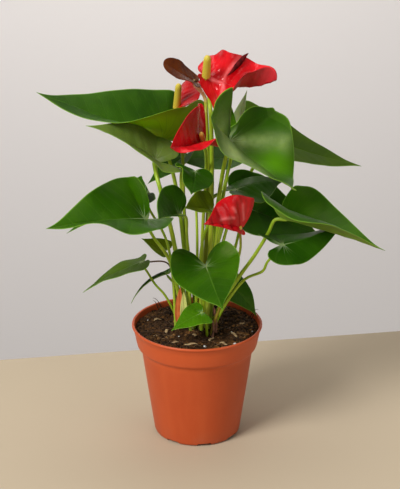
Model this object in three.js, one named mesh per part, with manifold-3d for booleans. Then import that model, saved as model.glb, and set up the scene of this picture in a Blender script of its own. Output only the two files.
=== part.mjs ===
// A potted anthurium, in millimetres, +Z up. Heart-shaped leaves and red blooms rise on
// slim stalks from one crown, which stands in the soil of a plastic nursery pot.
// The origin is the middle of the pot's underside, and the plant is seen along +Y.

import * as THREE from 'three';
import { mergeVertices } from 'three/addons/utils/BufferGeometryUtils.js';
import Module from 'manifold-3d';

// ---- Pot
const POT_HEIGHT = 107.7;
const RIM_RADIUS = 60;
const RIM_LIP = { height: 2.2, reach: 1.2 };
const BAND = { bottom: 84.5, bottomRadius: 55.2, step: 2.8 };
const WALL_TOP_RADIUS = 51.2;
const BASE_RADIUS = 39.9;
const BASE_ROUND = 3;
const WALL = 1.4;
const POT_SIDES = 44;
const FOOT_CHANNEL = { count: 8, width: 13, height: 2.8, from: 22, turn: 10 };
const DRAIN_HOLE = { radius: 3.5, ring: 30 };

// ---- Soil
const SOIL_TOP = 103.5;
const SOIL_MOUND = 3;
const SOIL_LUMP = 1.3;
const SOIL_RINGS = 8;
const SOIL_SECTORS = 26;
const SOIL_SEED = 12;
const GAP = 0.3;

// ---- Leaves and blooms
const LEAF_THICKNESS = 0.9;
const SPATHE_THICKNESS = 0.9;
const STALK_SIDES = 6;
const STALK_STEP = 22;
const STALK_DEPTH = 14;
const LARGE_BLADE = { from: 50, halfPoints: 11, rings: 3 };
const SMALL_BLADE = { halfPoints: 9, rings: 2 };
const SPADIX_SIDES = 8;
const SPADIX_ROW = 2.2;
const SPADIX_RELIEF = 0.25;

// Half of a blade's outline, from its tip round one side to the notch at the stalk.
// The first number runs along the midrib and the second across it, as shares of the length.
const LEAF_EDGE = [
  [1, 0], [0.93, 0.022], [0.84, 0.065], [0.68, 0.165], [0.48, 0.285], [0.27, 0.39], [0.08, 0.45],
  [-0.1, 0.44], [-0.24, 0.36], [-0.3, 0.24], [-0.25, 0.12], [-0.13, 0.035], [-0.05, 0],
];
const SPATHE_POINTED = [
  [1, 0], [0.95, 0.03], [0.84, 0.14], [0.66, 0.3], [0.44, 0.43], [0.2, 0.5], [-0.02, 0.48],
  [-0.2, 0.38], [-0.28, 0.24], [-0.24, 0.11], [-0.13, 0.035], [-0.05, 0],
];
const SPATHE_ROUND = [
  [1, 0], [0.99, 0.1], [0.94, 0.21], [0.84, 0.32], [0.68, 0.42], [0.48, 0.48], [0.26, 0.5],
  [0.05, 0.46], [-0.1, 0.36], [-0.18, 0.23], [-0.16, 0.1], [-0.1, 0.03], [-0.05, 0],
];
const SHEATH_EDGE = [[1, 0], [0.88, 0.05], [0.6, 0.11], [0.3, 0.13], [0.05, 0.09], [-0.05, 0]];

// Every blade starts from these shapes. Angles are in degrees; pairs are the left side and
// the right side, seen from the stalk towards the tip with the upper face up.
const BLADE = {
  width: 1,         // breadth, as a share of the usual breadth
  fold: [18, 18],   // how far each side rises from the midrib
  curl: [0, 0],     // what that grows by towards the margin
  tipFold: [0, 0],  // what it grows by towards the tip
  rearFold: [0, 0], // what it grows by in the lobe beside the stalk
  twist: 0,         // turn about the midrib, at the tip
  arch: 0,          // rise of the midrib between its ends, as a share of the length
  bend: 0,          // its sideways bow, likewise
  heel: [0.3, 0.3], // rise of each lobe behind the stalk, likewise
  lobes: [1, 1],    // reach of each lobe behind the stalk, as a share of the usual reach
  wave: 0.012,      // wave of the margin, likewise
  halves: [1, 1],   // breadth of each half, as a share of width
};

// A blade that is rolled up unevenly has rolls instead of folds: for each half, how far it
// rises from the midrib at each of these stations, and curls, how much it curls over there.
// Its heel is then the angle through which each lobe is turned up behind the stalk.
const STATIONS = [-0.3, 0, 0.3, 0.65, 1];

// hub is where the stalk joins the blade, tip is the blade's point, face is the way its
// upper face looks, foot is where the stalk leaves the soil, and via are points between.
const LEAVES = [
  { name: 'leaf_top_left', hub: [-31, 14.5, 280], tip: [-140, -2.5, 328], face: [0.4, -0.2, 0.9],
    width: 0.98, lobes: [0.9, 0.1], fold: [65, 27], curl: [2, 0], tipFold: [-77, -28],
    rearFold: [37, -18], twist: -5, arch: 0.03, bend: 0.07, heel: [0, 0.3], foot: [-7, 7],
    via: [[-17, 11, 224.5], [-25.5, 9, 264.5]], stalk: 1.8 },
  { name: 'leaf_mid_left', hub: [-36, -25, 274], tip: [-95, -39, 309], face: [0.5, -0.1, 0.8],
    width: 0.97, fold: [17, 10], curl: [-7, -12], tipFold: [14, 25], rearFold: [5, 5], twist: -3,
    arch: 0.05, bend: 0.01, foot: [-9, 1],
    via: [[-22, -12.5, 198.5], [-32, -29.5, 248], [-36, -22.5, 261.5]], stalk: 2 },
  { name: 'leaf_left', hub: [-45.5, -49, 228], tip: [-127.5, -89.5, 233.5], face: [0.4, -0.7, 0.55],
    lobes: [0.7, 0.3], halves: [0.81, 1.16], rolls: [[75, 60, 55, 75, 30], [-5, -25, -25, -15, -10]],
    curls: [[0, -5, -25, 0, -10], [0, 0, 0, 0, 0]], twist: -5, arch: 0.09, heel: [10, 25],
    foot: [-13, -5.5], via: [[-24, -17, 174], [-38, -37.5, 206], [-43, -45, 219]], stalk: 1.5 },
  { name: 'leaf_front_right', hub: [29, -45, 296.5], tip: [83, -95, 270], face: [0.6, 0.3, 0.7],
    width: 1.52, lobes: [0.8, 1.7], rolls: [[40, 52, 58, 22, -5], [-10, 0, -20, -15, 0]],
    curls: [[-5, 12, 14, 12, -10], [0, 0, 0, 0, 0]], twist: -2, bend: 0.23, heel: [70, 95],
    halves: [1, 0.95], foot: [5.5, -3], via: [[16.5, -4.5, 209], [24, -33, 274]], stalk: 1.9 },
  { name: 'leaf_back_right', hub: [63, 32, 274], tip: [151, 50, 242], face: [0.4, -0.3, 0.9], width: 0.94,
    fold: [2, 20], curl: [3, 1], tipFold: [-14, -12], rearFold: [5, 5], bend: -0.02, foot: [5, 12.5],
    via: [[26, 28, 199], [49.5, 55, 235], [61, 38, 261.5]], stalk: 1.6 },
  { name: 'leaf_inner_right', hub: [35, -0.5, 238], tip: [78, 37.5, 231], face: [0.2, -0.1, 1],
    width: 1.02, fold: [-24, -3], curl: [-17, 2], tipFold: [37, -24], rearFold: [-7, 5], twist: 16,
    arch: 0.06, bend: -0.02, heel: [0.2, 0.3], foot: [10.5, 7.5], via: [[22, 23, 170], [33, 28.5, 210.5]],
    stalk: 1.4 },
  { name: 'leaf_right', hub: [81, -10.5, 212], tip: [166, -34.5, 192], face: [0.2, 0, 1], width: 1.02,
    lobes: [0.3, 1], fold: [-3, 63], curl: [39, -42], tipFold: [9, -13], rearFold: [-8, -9], twist: 4,
    arch: 0.02, bend: -0.01, heel: [0.5, 0.5], foot: [13.5, -3.5],
    via: [[36.5, -9.5, 154.5], [52, -5.5, 176.5], [64, -8.5, 199.5], [70, -8, 211.5]], stalk: 1.7 },
  { name: 'leaf_low_right', hub: [77, -22.5, 193.5], tip: [136, -0.5, 209.5], face: [-0.1, -0.3, 0.9],
    width: 0.77, lobes: [1.1, 1], fold: [-5, -21], curl: [-10, 0], tipFold: [-36, -28],
    rearFold: [-45, -16], twist: 3, arch: -0.05, bend: -0.01, heel: [0.6, 0.2], foot: [15.5, -9],
    via: [[42, -12, 154.5], [59, -17.5, 166], [63, -21.5, 176.5]], stalk: 1.3 },
  { name: 'leaf_shaded_right', hub: [43, 25.5, 210.5], tip: [115, 36.5, 178.5], face: [0.4, -0.6, 0.7],
    width: 0.99, fold: [16, 19], curl: [-2, 3], tipFold: [1, -6], rearFold: [5, 0], twist: 1, arch: 0.03,
    foot: [11, 17], via: [[31, 43.5, 148], [41, 33, 196]], stalk: 1.4 },
  { name: 'leaf_front', hub: [8, -43.5, 180.5], tip: [22, -106.5, 166.5], face: [-0.3, -0.3, 0.9],
    width: 1.04, fold: [-11, 7], curl: [12, 7], tipFold: [-21, -29], rearFold: [24, 21], twist: 4,
    arch: 0.04, heel: [0.1, 0.4], foot: [4, -16], via: [[6, -19, 134.5], [8, -38.5, 169]], stalk: 1.4 },
  { name: 'leaf_low_front', hub: [3.5, -32, 131], tip: [-23, -47, 120.5], face: [-0.1, -0.5, 0.9],
    lobes: [0.3, 0.5], halves: [1.08, 0.93], rolls: [[0, 5, 15, 5, 5], [5, 0, 10, 10, 10]],
    curls: [[0, 0, 0, 0, 0], [0, 0, 0, 0, 0]], arch: 0.04, heel: [-10, 10], foot: [9, -22.5],
    via: [[7, -27.5, 123]], stalk: 1.2 },
  { name: 'leaf_low_right_small', hub: [25, 16.5, 142], tip: [55, 12.5, 108], face: [0.7, -0.5, 0.5],
    width: 1.02, fold: [0, 9], curl: [-14, -2], tipFold: [30, -1], rearFold: [5, 5], twist: 8, arch: 0.07,
    bend: 0.02, foot: [18, 8], via: [[23, 12, 132]], stalk: 1.2 },
  { name: 'leaf_low_left', hub: [-50.5, -16.5, 174], tip: [-102.5, -25, 148], face: [-0.4, -0.1, 0.9],
    lobes: [0.4, 0.3], halves: [0.83, 0.93], rolls: [[10, 5, 10, 15, 10], [-10, -15, -5, -5, -10]],
    curls: [[0, 0, 0, 0, 0], [0, 0, 0, 0, 0]], arch: 0.04, heel: [15, 15], foot: [-17.5, -0.5],
    via: [[-29, -13.5, 140.5], [-38, -14.5, 152], [-45, -10, 162]], stalk: 1.1 },
  { name: 'leaf_round', hub: [-16, -55, 233.5], tip: [-32, -106, 248.5], face: [0.8, 0, 0.7], width: 1.06,
    fold: [31, 18], curl: [16, 2], tipFold: [-18, -23], rearFold: [0, -2], twist: 3, bend: -0.03,
    heel: [0.3, 0.4], halves: [0.4, 1], lobes: [0.2, 1], foot: [-6, -14],
    via: [[-8, -14, 170], [-9, -26, 205], [-10, -44, 228]], stalk: 1.3 },
  { name: 'leaf_bronze', hub: [12, -30, 228.5], tip: [-11, -55, 239.5], face: [0.5, -0.1, 0.9],
    halves: [0.78, 1.2], lobes: [0.2, 0.5], rolls: [[5, 10, 20, 0, 0], [25, 25, 30, 20, 25]],
    curls: [[0, 0, 0, 0, 0], [0, 0, 0, 0, 0]], twist: -3, arch: 0.01, bend: -0.05, heel: [15, 20],
    foot: [-2.5, -8.5], via: [[5, -15.5, 194], [10, -24, 214]], stalk: 1.3 },
  { name: 'leaf_small_heart', hub: [-1.5, -30, 264], tip: [-5, -62, 254.5], face: [0.3, -0.3, 0.9],
    halves: [1.15, 1.22], lobes: [0.5, 0.1], rolls: [[5, -10, -10, 0, 10], [0, 0, 20, -5, 0]],
    curls: [[10, 5, 5, 10, 10], [10, 5, 20, 10, 10]], arch: -0.03, bend: 0.03, heel: [15, 10],
    foot: [0, -4], via: [[0, -9.5, 201.5], [-2, -15, 251.5]], stalk: 1.2 },
  { name: 'leaf_behind_left', hub: [-13, 36.5, 254.5], tip: [-45, 25.5, 233.5], face: [-0.4, -0.4, 0.8],
    width: 0.99, fold: [18, 4], curl: [5, -7], tipFold: [-15, 7], rearFold: [5, 5], twist: -5, arch: 0.03,
    bend: 0.01, foot: [-1.5, 13.5], via: [[-11, 27, 197.5], [-15, 31, 236]], stalk: 1.2 },
  { name: 'leaf_back', hub: [29, 38, 253], tip: [-21, 46, 250], face: [-0.1, -0.3, 0.9], width: 1.02,
    fold: [10, 1], curl: [4, -10], tipFold: [-17, 15], rearFold: [2, 5], twist: -8, arch: 0.04,
    bend: 0.01, foot: [3, 17.5], via: [[15, 18, 192.5], [27.5, 38, 240]], stalk: 1.4 },
  { name: 'leaf_hidden_left', hub: [-46, 1.5, 232.5], tip: [-118, -10.5, 210.5], face: [0, -0.3, 1],
    width: 0.6, fold: [15, 10], arch: 0.04, foot: [-19.5, -10.5],
    via: [[-27, -6.5, 189.5], [-44, 5, 219.5]], stalk: 1.2, lobes: [0.4, 0.4] },
  { name: 'leaf_rolled', hub: [36, 3.5, 294], tip: [44, 11.5, 326], face: [-0.6, -0.7, 0], width: 0.55,
    lobes: [0.3, 0.3], fold: [25, 25], foot: [10.5, 1.5], via: [[20.5, -12, 221.5], [33, -0.5, 277.5]],
    stalk: 1.2 },
  { name: 'leaf_narrow', hub: [-28, 0, 156], tip: [-60, -8, 130], face: [-0.5, 0, 1], arch: 0.12,
    foot: [-13, 6], via: [[-20, 0, 144], [-27, 0, 154]], stalk: 1, width: 0.25 },
  { name: 'leaf_pale_small', hub: [-30, 10, 175], tip: [-51, 12, 186], face: [0.2, -0.5, 0.8],
    lobes: [0.6, 0.6], foot: [-11, 12], via: [[-19, 19.5, 140.5], [-27, 15, 166]], stalk: 1 },
];

// Each bloom is a spathe on a peduncle, with the spadix that stands up from its hub.
const BLOOMS = [
  { name: 'top', edge: SPATHE_ROUND, hub: [8, -24, 348.5], tip: [67.5, -38.5, 349],
    face: [-0.15, -0.65, 0.75], lobes: [0.8, 1.2],
    rolls: [[-55, -10, 45, 10, 30], [-80, -70, 10, 80, 115]],
    curls: [[0, 0, 10, 0, 0], [0, 10, 30, -5, 15]], twist: -22, arch: -0.22, bend: -0.01,
    heel: [-20, -55], halves: [0.92, 0.84], foot: [9, -9],
    via: [[13, -10, 232.5], [12, -16, 309], [10.5, -10.5, 327]], stalk: 2,
    spadix: { to: [9, -36, 369], radius: 3.7 } },
  { name: 'top_left', edge: SPATHE_ROUND, hub: [-1.5, -8, 339], tip: [-28.5, -18.5, 359],
    face: [0.6, -0.25, 0.7], width: 0.55, lobes: [0.4, 0.4],
    rolls: [[10, 10, 20, 5, -5], [10, 0, 0, 15, 15]], curls: [[10, 10, 15, 10, 10], [10, 10, 10, 10, 10]],
    twist: -15, arch: -0.02, bend: -0.02, heel: [15, 15], foot: [3.5, 4.5],
    via: [[10, -5, 228.5], [8, -9.5, 311.5], [7, -0.5, 322]], stalk: 1.8,
    spadix: { to: [-8, -3, 341], radius: 1.6 } },
  { name: 'left', edge: SPATHE_POINTED, hub: [-18, 18, 308], tip: [-1, 49, 330], face: [-0.7, -0.2, 0.7],
    width: 1.07, fold: [-11, -4], curl: [-23, -1], tipFold: [24, -20], rearFold: [5, 5], twist: 11,
    arch: 0.04, bend: -0.01, foot: [-6, 17],
    via: [[-12, 12, 222.5], [-12.5, 11, 256], [-14.5, 26, 276], [-16.5, 26, 296]], stalk: 1.5,
    spadix: { to: [-16, 9, 332], radius: 3.4 } },
  { name: 'middle', edge: SPATHE_POINTED, hub: [6, -36, 291.5], tip: [-22, -86, 304.5],
    face: [0.4, 0, 0.9], halves: [0.85, 1.21], lobes: [0.1, 0.1],
    rolls: [[15, 20, 45, 20, -35], [75, 55, 70, 65, 55]], curls: [[0, 0, 0, 0, 0], [0, 0, 0, 0, 0]],
    twist: -5, arch: -0.01, bend: -0.01, heel: [15, 15], foot: [3, -10.5],
    via: [[5, -7.5, 199.5], [8, -12, 257], [7.5, -30, 282]], stalk: 1.5,
    spadix: { to: [3.5, -46, 304.5], radius: 2.6 } },
  { name: 'low', edge: SPATHE_POINTED, hub: [37.5, -50, 219.5], tip: [5.5, -82, 235],
    face: [0.5, -0.1, 0.85], halves: [0.32, 1.23], lobes: [0.1, 0.4],
    rolls: [[-20, -15, 0, 10, 10], [70, 75, 70, 45, 65]], curls: [[0, 0, 0, 0, 0], [0, 0, 0, 0, 0]],
    arch: 0.03, heel: [15, 25], foot: [13, -19.5],
    via: [[30.5, -19, 157.5], [38, -36, 193], [38, -44, 208]], stalk: 1.2,
    spadix: { to: [23, -61, 226], radius: 2.4 } },
];

// Dry papery sheaths round the crown, made as the leaves are but with no notch.
const SHEATHS = [
  { name: 'sheath_brown', hub: [-16, -14, 113], tip: [-15, -13, 148], face: [-0.5, -1, 0], fold: [30, 30],
    foot: [-17, -14.5], via: [], stalk: 1, color: 0xb5622c },
  { name: 'sheath_green', hub: [-11, -20, 114], tip: [-12, -18, 146], face: [-0.2, -1, 0], fold: [30, 30],
    foot: [-11, -20], via: [], stalk: 1, color: 0xb9c25a },
];

// Bare stems: a dry stalk that leans out to the left, and two roots that arch into the soil.
const BARE_STEMS = [
  { name: 'stalk_dry', points: [[-17, 4], [-22, 14, 148], [-28, 22, 158], [-53, 22, 158]], radius: 0.8 },
  { name: 'root_tall', points: [[17, -15], [17, -14, 118], [15, -9, 127]], radius: 1.3 },
  { name: 'root_short', points: [[14, -27], [15, -25, 112], [14, -20, 119]], radius: 1.2 },
];

const rad = THREE.MathUtils.degToRad;
const vec = (p) => new THREE.Vector3(...p);
const wasm = await Module();
wasm.setup();

// ---- Solids from closed geometry, and back
function toSolid(geometry) {
  const bare = geometry.clone();
  bare.deleteAttribute('normal');
  bare.deleteAttribute('uv');
  const merged = mergeVertices(bare, 1e-5);
  const corners = [...merged.index.array];
  const kept = corners.filter((_, i) => {
    const [p, q, r] = corners.slice(i - (i % 3), i - (i % 3) + 3);
    return p !== q && q !== r && r !== p;
  });
  const vertProperties = new Float32Array(merged.attributes.position.array);
  const triVerts = new Uint32Array(kept);
  return new wasm.Manifold(new wasm.Mesh({ numProp: 3, vertProperties, triVerts }));
}

function toGeometry(solid) {
  const { vertProperties, triVerts, numProp } = solid.getMesh();
  const geometry = new THREE.BufferGeometry();
  geometry.setAttribute('position', new THREE.BufferAttribute(new Float32Array(vertProperties), numProp));
  geometry.setIndex([...triVerts]);
  geometry.computeVertexNormals();
  return geometry;
}

function meshGeometry(points, faces) {
  const geometry = new THREE.BufferGeometry().setFromPoints(points);
  geometry.setIndex(faces.flat());
  geometry.computeVertexNormals();
  return geometry;
}

// ---- Blades: a heart-shaped sheet, folded along its midrib
function eased(values, a) {
  const inside = THREE.MathUtils.clamp(a, STATIONS[0], STATIONS.at(-1));
  const i = Math.max(1, STATIONS.findIndex((station) => station >= inside));
  const t = THREE.MathUtils.smoothstep(inside, STATIONS[i - 1], STATIONS[i]);
  return THREE.MathUtils.lerp(values[i - 1], values[i], t);
}

// One half's cross-section, and its lobe: how far a place lies along, beside and above.
function halfSection(blade, side, a, across) {
  const front = Math.max(a, 0);
  const rear = Math.max(-a, 0);
  const near = Math.min(across / 0.08, 1);
  if (blade.rolls) {
    const start = rad(eased(blade.rolls[side], a));
    const curl = 2 * rad(eased(blade.curls[side], a)) || 0.001;
    const heel = rad(blade.heel[side]) * near;
    return {
      ahead: front - rear * Math.cos(heel),
      beside: (Math.sin(start + curl * across) - Math.sin(start)) / curl,
      above: (Math.cos(start) - Math.cos(start + curl * across)) / curl,
      raised: rear * Math.sin(heel),
    };
  }
  const fold = rad(blade.fold[side] + blade.curl[side] * 2 * across
    + blade.tipFold[side] * front + blade.rearFold[side] * Math.min(rear / 0.2, 1));
  return {
    ahead: a,
    beside: across * Math.cos(fold),
    above: across * Math.sin(fold),
    raised: blade.heel[side] * rear * near,
  };
}

function bladeSurface(blade) {
  const hub = vec(blade.hub);
  const along = vec(blade.tip).sub(hub);
  const length = along.length();
  along.divideScalar(length);
  const up = vec(blade.face);
  up.addScaledVector(along, -up.dot(along)).normalize();
  const left = up.clone().cross(along);
  return (a, b) => {
    const across = Math.abs(b);
    const side = b > 0 ? 0 : 1;
    const { ahead, beside, above, raised } = halfSection(blade, side, a, across);
    const turn = rad(blade.twist) * a;
    const flat = Math.sign(b) * beside;
    const bow = 4 * a * (1 - Math.max(a, 0));
    const ripple = blade.wave * Math.sin(11 * a + 3 * side) * (across / 0.4) ** 2;
    const y = flat * Math.cos(turn) - above * Math.sin(turn) + blade.bend * bow;
    const z = flat * Math.sin(turn) + above * Math.cos(turn) + blade.arch * bow + raised + ripple;
    return hub.clone().addScaledVector(along, ahead * length).addScaledVector(left, y * length)
      .addScaledVector(up, z * length);
  };
}

function bladeOutline(edge, blade, halfPoints) {
  const notch = edge.at(-1)[0];
  const half = (sign, side) => new THREE.SplineCurve(edge.map(([a, b]) => new THREE.Vector2(
    a < notch ? notch + (a - notch) * blade.lobes[side] : a,
    sign * b * blade.width * blade.halves[side],
  ))).getSpacedPoints(halfPoints);
  const [left, right] = [half(1, 0), half(-1, 1)];
  return [...left, ...right.slice(1, -1).reverse()];
}

function bladeGeometry(blade, edge, thickness) {
  const surface = bladeSurface(blade);
  const long = vec(blade.hub).distanceTo(vec(blade.tip)) > LARGE_BLADE.from;
  const { halfPoints, rings } = long ? LARGE_BLADE : SMALL_BLADE;
  const outline = bladeOutline(edge, blade, halfPoints);
  const count = outline.length;
  const middle = new THREE.Vector2(0.14, 0);
  const sheet = [surface(middle.x, middle.y)];
  for (let ring = 1; ring <= rings; ring += 1) {
    for (const edgePoint of outline) {
      const p = middle.clone().lerp(edgePoint, ring / rings);
      sheet.push(surface(p.x, p.y));
    }
  }
  const at = (ring, i) => (ring === 0 ? 0 : 1 + (ring - 1) * count + (i % count));
  const upper = [];
  for (let i = 0; i < count; i += 1) {
    upper.push([0, at(1, i), at(1, i + 1)]);
    for (let ring = 1; ring < rings; ring += 1) {
      upper.push([at(ring, i), at(ring + 1, i), at(ring + 1, i + 1)]);
      upper.push([at(ring, i), at(ring + 1, i + 1), at(ring, i + 1)]);
    }
  }
  const normals = meshGeometry(sheet, upper).attributes.normal;
  const total = sheet.length;
  const shifted = (sign) => sheet.map((p, i) => p.clone()
    .addScaledVector(new THREE.Vector3().fromBufferAttribute(normals, i), sign * thickness / 2));
  const faces = [...upper, ...upper.map(([p, q, r]) => [p + total, r + total, q + total])];
  for (let i = 0; i < count; i += 1) {
    const here = at(rings, i);
    const next = at(rings, i + 1);
    faces.push([here, here + total, next + total]);
    faces.push([here, next + total, next]);
  }
  return meshGeometry([...shifted(1), ...shifted(-1)], faces);
}

// ---- Stalks: a slim round stem along a smooth curve, thicker just under what it carries.
// With a margin it is the room that the stem needs, that much larger all round.
function stalkGeometry(points, radiusAt, margin = 0) {
  const curve = new THREE.CatmullRomCurve3(points.map(vec), false, 'centripetal');
  const count = Math.max(2, Math.round(curve.getLength() / STALK_STEP));
  const frames = curve.computeFrenetFrames(count, false);
  const ringPoints = [];
  for (let i = 0; i <= count; i += 1) {
    const end = Number(i === count) - Number(i === 0);
    const centre = curve.getPointAt(i / count).addScaledVector(frames.tangents[i], end * margin);
    const radius = radiusAt(i / count) + margin;
    for (let s = 0; s < STALK_SIDES; s += 1) {
      const angle = (2 * Math.PI * s) / STALK_SIDES;
      ringPoints.push(centre.clone().addScaledVector(frames.normals[i], radius * Math.cos(angle))
        .addScaledVector(frames.binormals[i], radius * Math.sin(angle)));
    }
  }
  const faces = [];
  const at = (i, s) => i * STALK_SIDES + (s % STALK_SIDES);
  for (let i = 0; i < count; i += 1) {
    for (let s = 0; s < STALK_SIDES; s += 1) {
      faces.push([at(i, s), at(i, s + 1), at(i + 1, s + 1)]);
      faces.push([at(i, s), at(i + 1, s + 1), at(i + 1, s)]);
    }
  }
  for (let s = 1; s < STALK_SIDES - 1; s += 1) {
    faces.push([at(0, 0), at(0, s + 1), at(0, s)]);
    faces.push([at(count, 0), at(count, s), at(count, s + 1)]);
  }
  return meshGeometry(ringPoints, faces);
}

const taper = (radius) => (share) => radius * (share > 0.93 ? 1.2 : 1.15 - 0.25 * share);

// ---- Spadix: a tapered rod covered in small florets, raised as relief
function spadixGeometry(bloom, margin = 0) {
  const { spadix } = bloom;
  const axis = vec(spadix.to).sub(vec(bloom.hub)).normalize();
  const foot = vec(bloom.hub).addScaledVector(axis, -margin);
  const height = foot.distanceTo(vec(spadix.to)) + margin;
  const across = new THREE.Vector3(1, 0, 0).cross(axis).normalize();
  const beside = axis.clone().cross(across);
  const rows = Math.max(6, Math.round(height / SPADIX_ROW));
  const points = [foot];
  for (let row = 0; row <= rows; row += 1) {
    const share = row / rows;
    const rounding = Math.sqrt(1 - Math.max(0, (share - 0.8) / 0.22) ** 2);
    for (let s = 0; s < SPADIX_SIDES; s += 1) {
      const floret = (row + s) % 2 === 0 ? SPADIX_RELIEF : -SPADIX_RELIEF;
      const radius = (spadix.radius * (1 - 0.2 * share) + floret) * rounding + margin;
      const angle = (2 * Math.PI * s) / SPADIX_SIDES;
      points.push(foot.clone().addScaledVector(axis, height * share)
        .addScaledVector(across, radius * Math.cos(angle))
        .addScaledVector(beside, radius * Math.sin(angle)));
    }
  }
  points.push(foot.clone().addScaledVector(axis, height + 0.4));
  const at = (row, s) => 1 + row * SPADIX_SIDES + (s % SPADIX_SIDES);
  const faces = [];
  for (let s = 0; s < SPADIX_SIDES; s += 1) {
    faces.push([0, at(0, s + 1), at(0, s)]);
    faces.push([points.length - 1, at(rows, s), at(rows, s + 1)]);
    for (let row = 0; row < rows; row += 1) {
      faces.push([at(row, s), at(row, s + 1), at(row + 1, s + 1)]);
      faces.push([at(row, s), at(row + 1, s + 1), at(row + 1, s)]);
    }
  }
  return meshGeometry(points, faces);
}

// ---- Pot and soil
function turned(profile, sides = POT_SIDES) {
  const points = profile.map(([radius, z]) => new THREE.Vector2(radius, z));
  return toSolid(new THREE.LatheGeometry(points, sides).rotateX(Math.PI / 2));
}

const bandBottom = BAND.bottom + BAND.step;
const outerProfile = [
  [0, 0], [BASE_RADIUS - BASE_ROUND, 0], [BASE_RADIUS - 0.9, 0.9], [BASE_RADIUS, BASE_ROUND],
  [WALL_TOP_RADIUS, BAND.bottom - 1.2], [BAND.bottomRadius, bandBottom],
  [RIM_RADIUS - RIM_LIP.reach, POT_HEIGHT - RIM_LIP.height],
  [RIM_RADIUS, POT_HEIGHT - RIM_LIP.height + 0.7], [RIM_RADIUS, POT_HEIGHT - 0.5],
  [RIM_RADIUS - 0.5, POT_HEIGHT], [0, POT_HEIGHT],
];

// The room inside the pot, with its walls pulled in by the given clearance.
function potRoom(clearance) {
  const inset = WALL + clearance;
  const floor = FOOT_CHANNEL.height + inset;
  return turned([
    [0, floor], [BASE_RADIUS - inset - 1, floor], [BASE_RADIUS - inset + 0.2, floor + 2],
    [WALL_TOP_RADIUS - inset, BAND.bottom - 0.6], [BAND.bottomRadius - inset, bandBottom + 0.6],
    [RIM_RADIUS - RIM_LIP.reach - inset, POT_HEIGHT - RIM_LIP.height],
    [RIM_RADIUS - RIM_LIP.reach - inset, POT_HEIGHT + 5], [0, POT_HEIGHT + 5],
  ]);
}

// The channels under the pot, as one solid.
function footChannels() {
  const { count, width, height, from, turn } = FOOT_CHANNEL;
  const reach = 2 * BASE_RADIUS;
  let channels = null;
  for (let i = 0; i < count; i += 1) {
    const box = new THREE.BoxGeometry(reach, width, 2 * height);
    box.translate(from + reach / 2, 0, 0).rotateZ(rad(turn + (360 * i) / count));
    const solid = toSolid(box);
    channels = channels ? channels.add(solid) : solid;
  }
  return channels;
}

function drainHoles() {
  const { count, turn } = FOOT_CHANNEL;
  let holes = null;
  for (let i = 0; i < count; i += 1) {
    const hole = new THREE.CylinderGeometry(DRAIN_HOLE.radius, DRAIN_HOLE.radius, 20, 8);
    hole.rotateX(Math.PI / 2).translate(DRAIN_HOLE.ring, 0, 0).rotateZ(rad(turn + (360 * i) / count));
    const solid = toSolid(hole);
    holes = holes ? holes.add(solid) : solid;
  }
  return holes;
}

function seededRandom(seed) {
  let state = seed;
  return () => {
    state = (state * 1664525 + 1013904223) % 4294967296;
    return state / 4294967296;
  };
}

// The ground that bounds the soil above: mounded at the crown, lumpy everywhere.
function groundGeometry() {
  const random = seededRandom(SOIL_SEED);
  const lump = () => SOIL_LUMP * (2 * random() - 1);
  const height = (share) => SOIL_TOP + SOIL_MOUND * (0.6 - share ** 2) + lump();
  const reach = RIM_RADIUS;
  const points = [new THREE.Vector3(0, 0, -5), new THREE.Vector3(0, 0, height(0))];
  for (let ring = 1; ring <= SOIL_RINGS; ring += 1) {
    const share = ring / SOIL_RINGS;
    for (let s = 0; s < SOIL_SECTORS; s += 1) {
      const angle = (2 * Math.PI * (s + 0.5 * (ring % 2))) / SOIL_SECTORS;
      const [x, y] = [reach * share * Math.cos(angle), reach * share * Math.sin(angle)];
      points.push(new THREE.Vector3(x, y, height(share)));
    }
  }
  const rim = points.length;
  for (let s = 0; s < SOIL_SECTORS; s += 1) points.push(points[rim - SOIL_SECTORS + s].clone().setZ(-5));
  const at = (ring, s) => 2 + (ring - 1) * SOIL_SECTORS + (s % SOIL_SECTORS);
  const faces = [];
  for (let s = 0; s < SOIL_SECTORS; s += 1) {
    faces.push([1, at(1, s), at(1, s + 1)]);
    for (let ring = 1; ring <= SOIL_RINGS; ring += 1) {
      faces.push([at(ring, s), at(ring + 1, s), at(ring + 1, s + 1)]);
      faces.push([at(ring, s), at(ring + 1, s + 1), at(ring, s + 1)]);
    }
    faces.push([0, at(SOIL_RINGS + 1, s + 1), at(SOIL_RINGS + 1, s)]);
  }
  return meshGeometry(points, faces);
}

// ---- Assembly
const group = new THREE.Group();
const rooms = [];

function addMesh(name, solid, color, roughness) {
  const material = new THREE.MeshStandardMaterial({ color, roughness, metalness: 0 });
  const mesh = new THREE.Mesh(toGeometry(solid), material);
  mesh.name = name;
  group.add(mesh);
}

// A stem that stands in the soil: its solid, and the room it needs in what it passes.
function plantedStem(points, radiusAt) {
  const [x, y] = points[0];
  const rooted = [[x, y, SOIL_TOP - STALK_DEPTH], [x, y, SOIL_TOP + 3], ...points.slice(1)];
  const room = toSolid(stalkGeometry(rooted, radiusAt, GAP * 1.2));
  rooms.push(room);
  return { stem: toSolid(stalkGeometry(rooted, radiusAt)), room };
}

for (const plan of LEAVES) {
  const leaf = { ...BLADE, ...plan };
  const { stem } = plantedStem([leaf.foot, ...leaf.via, leaf.hub], taper(leaf.stalk));
  const blade = toSolid(bladeGeometry(leaf, LEAF_EDGE, LEAF_THICKNESS));
  addMesh(leaf.name, blade.add(stem), 0x2f6b22, 0.4);
}

for (const plan of SHEATHS) {
  const sheath = { ...BLADE, ...plan };
  const { stem } = plantedStem([sheath.foot, ...sheath.via, sheath.hub], taper(sheath.stalk));
  const blade = toSolid(bladeGeometry(sheath, SHEATH_EDGE, LEAF_THICKNESS));
  addMesh(sheath.name, blade.add(stem), sheath.color, 0.7);
}

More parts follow.
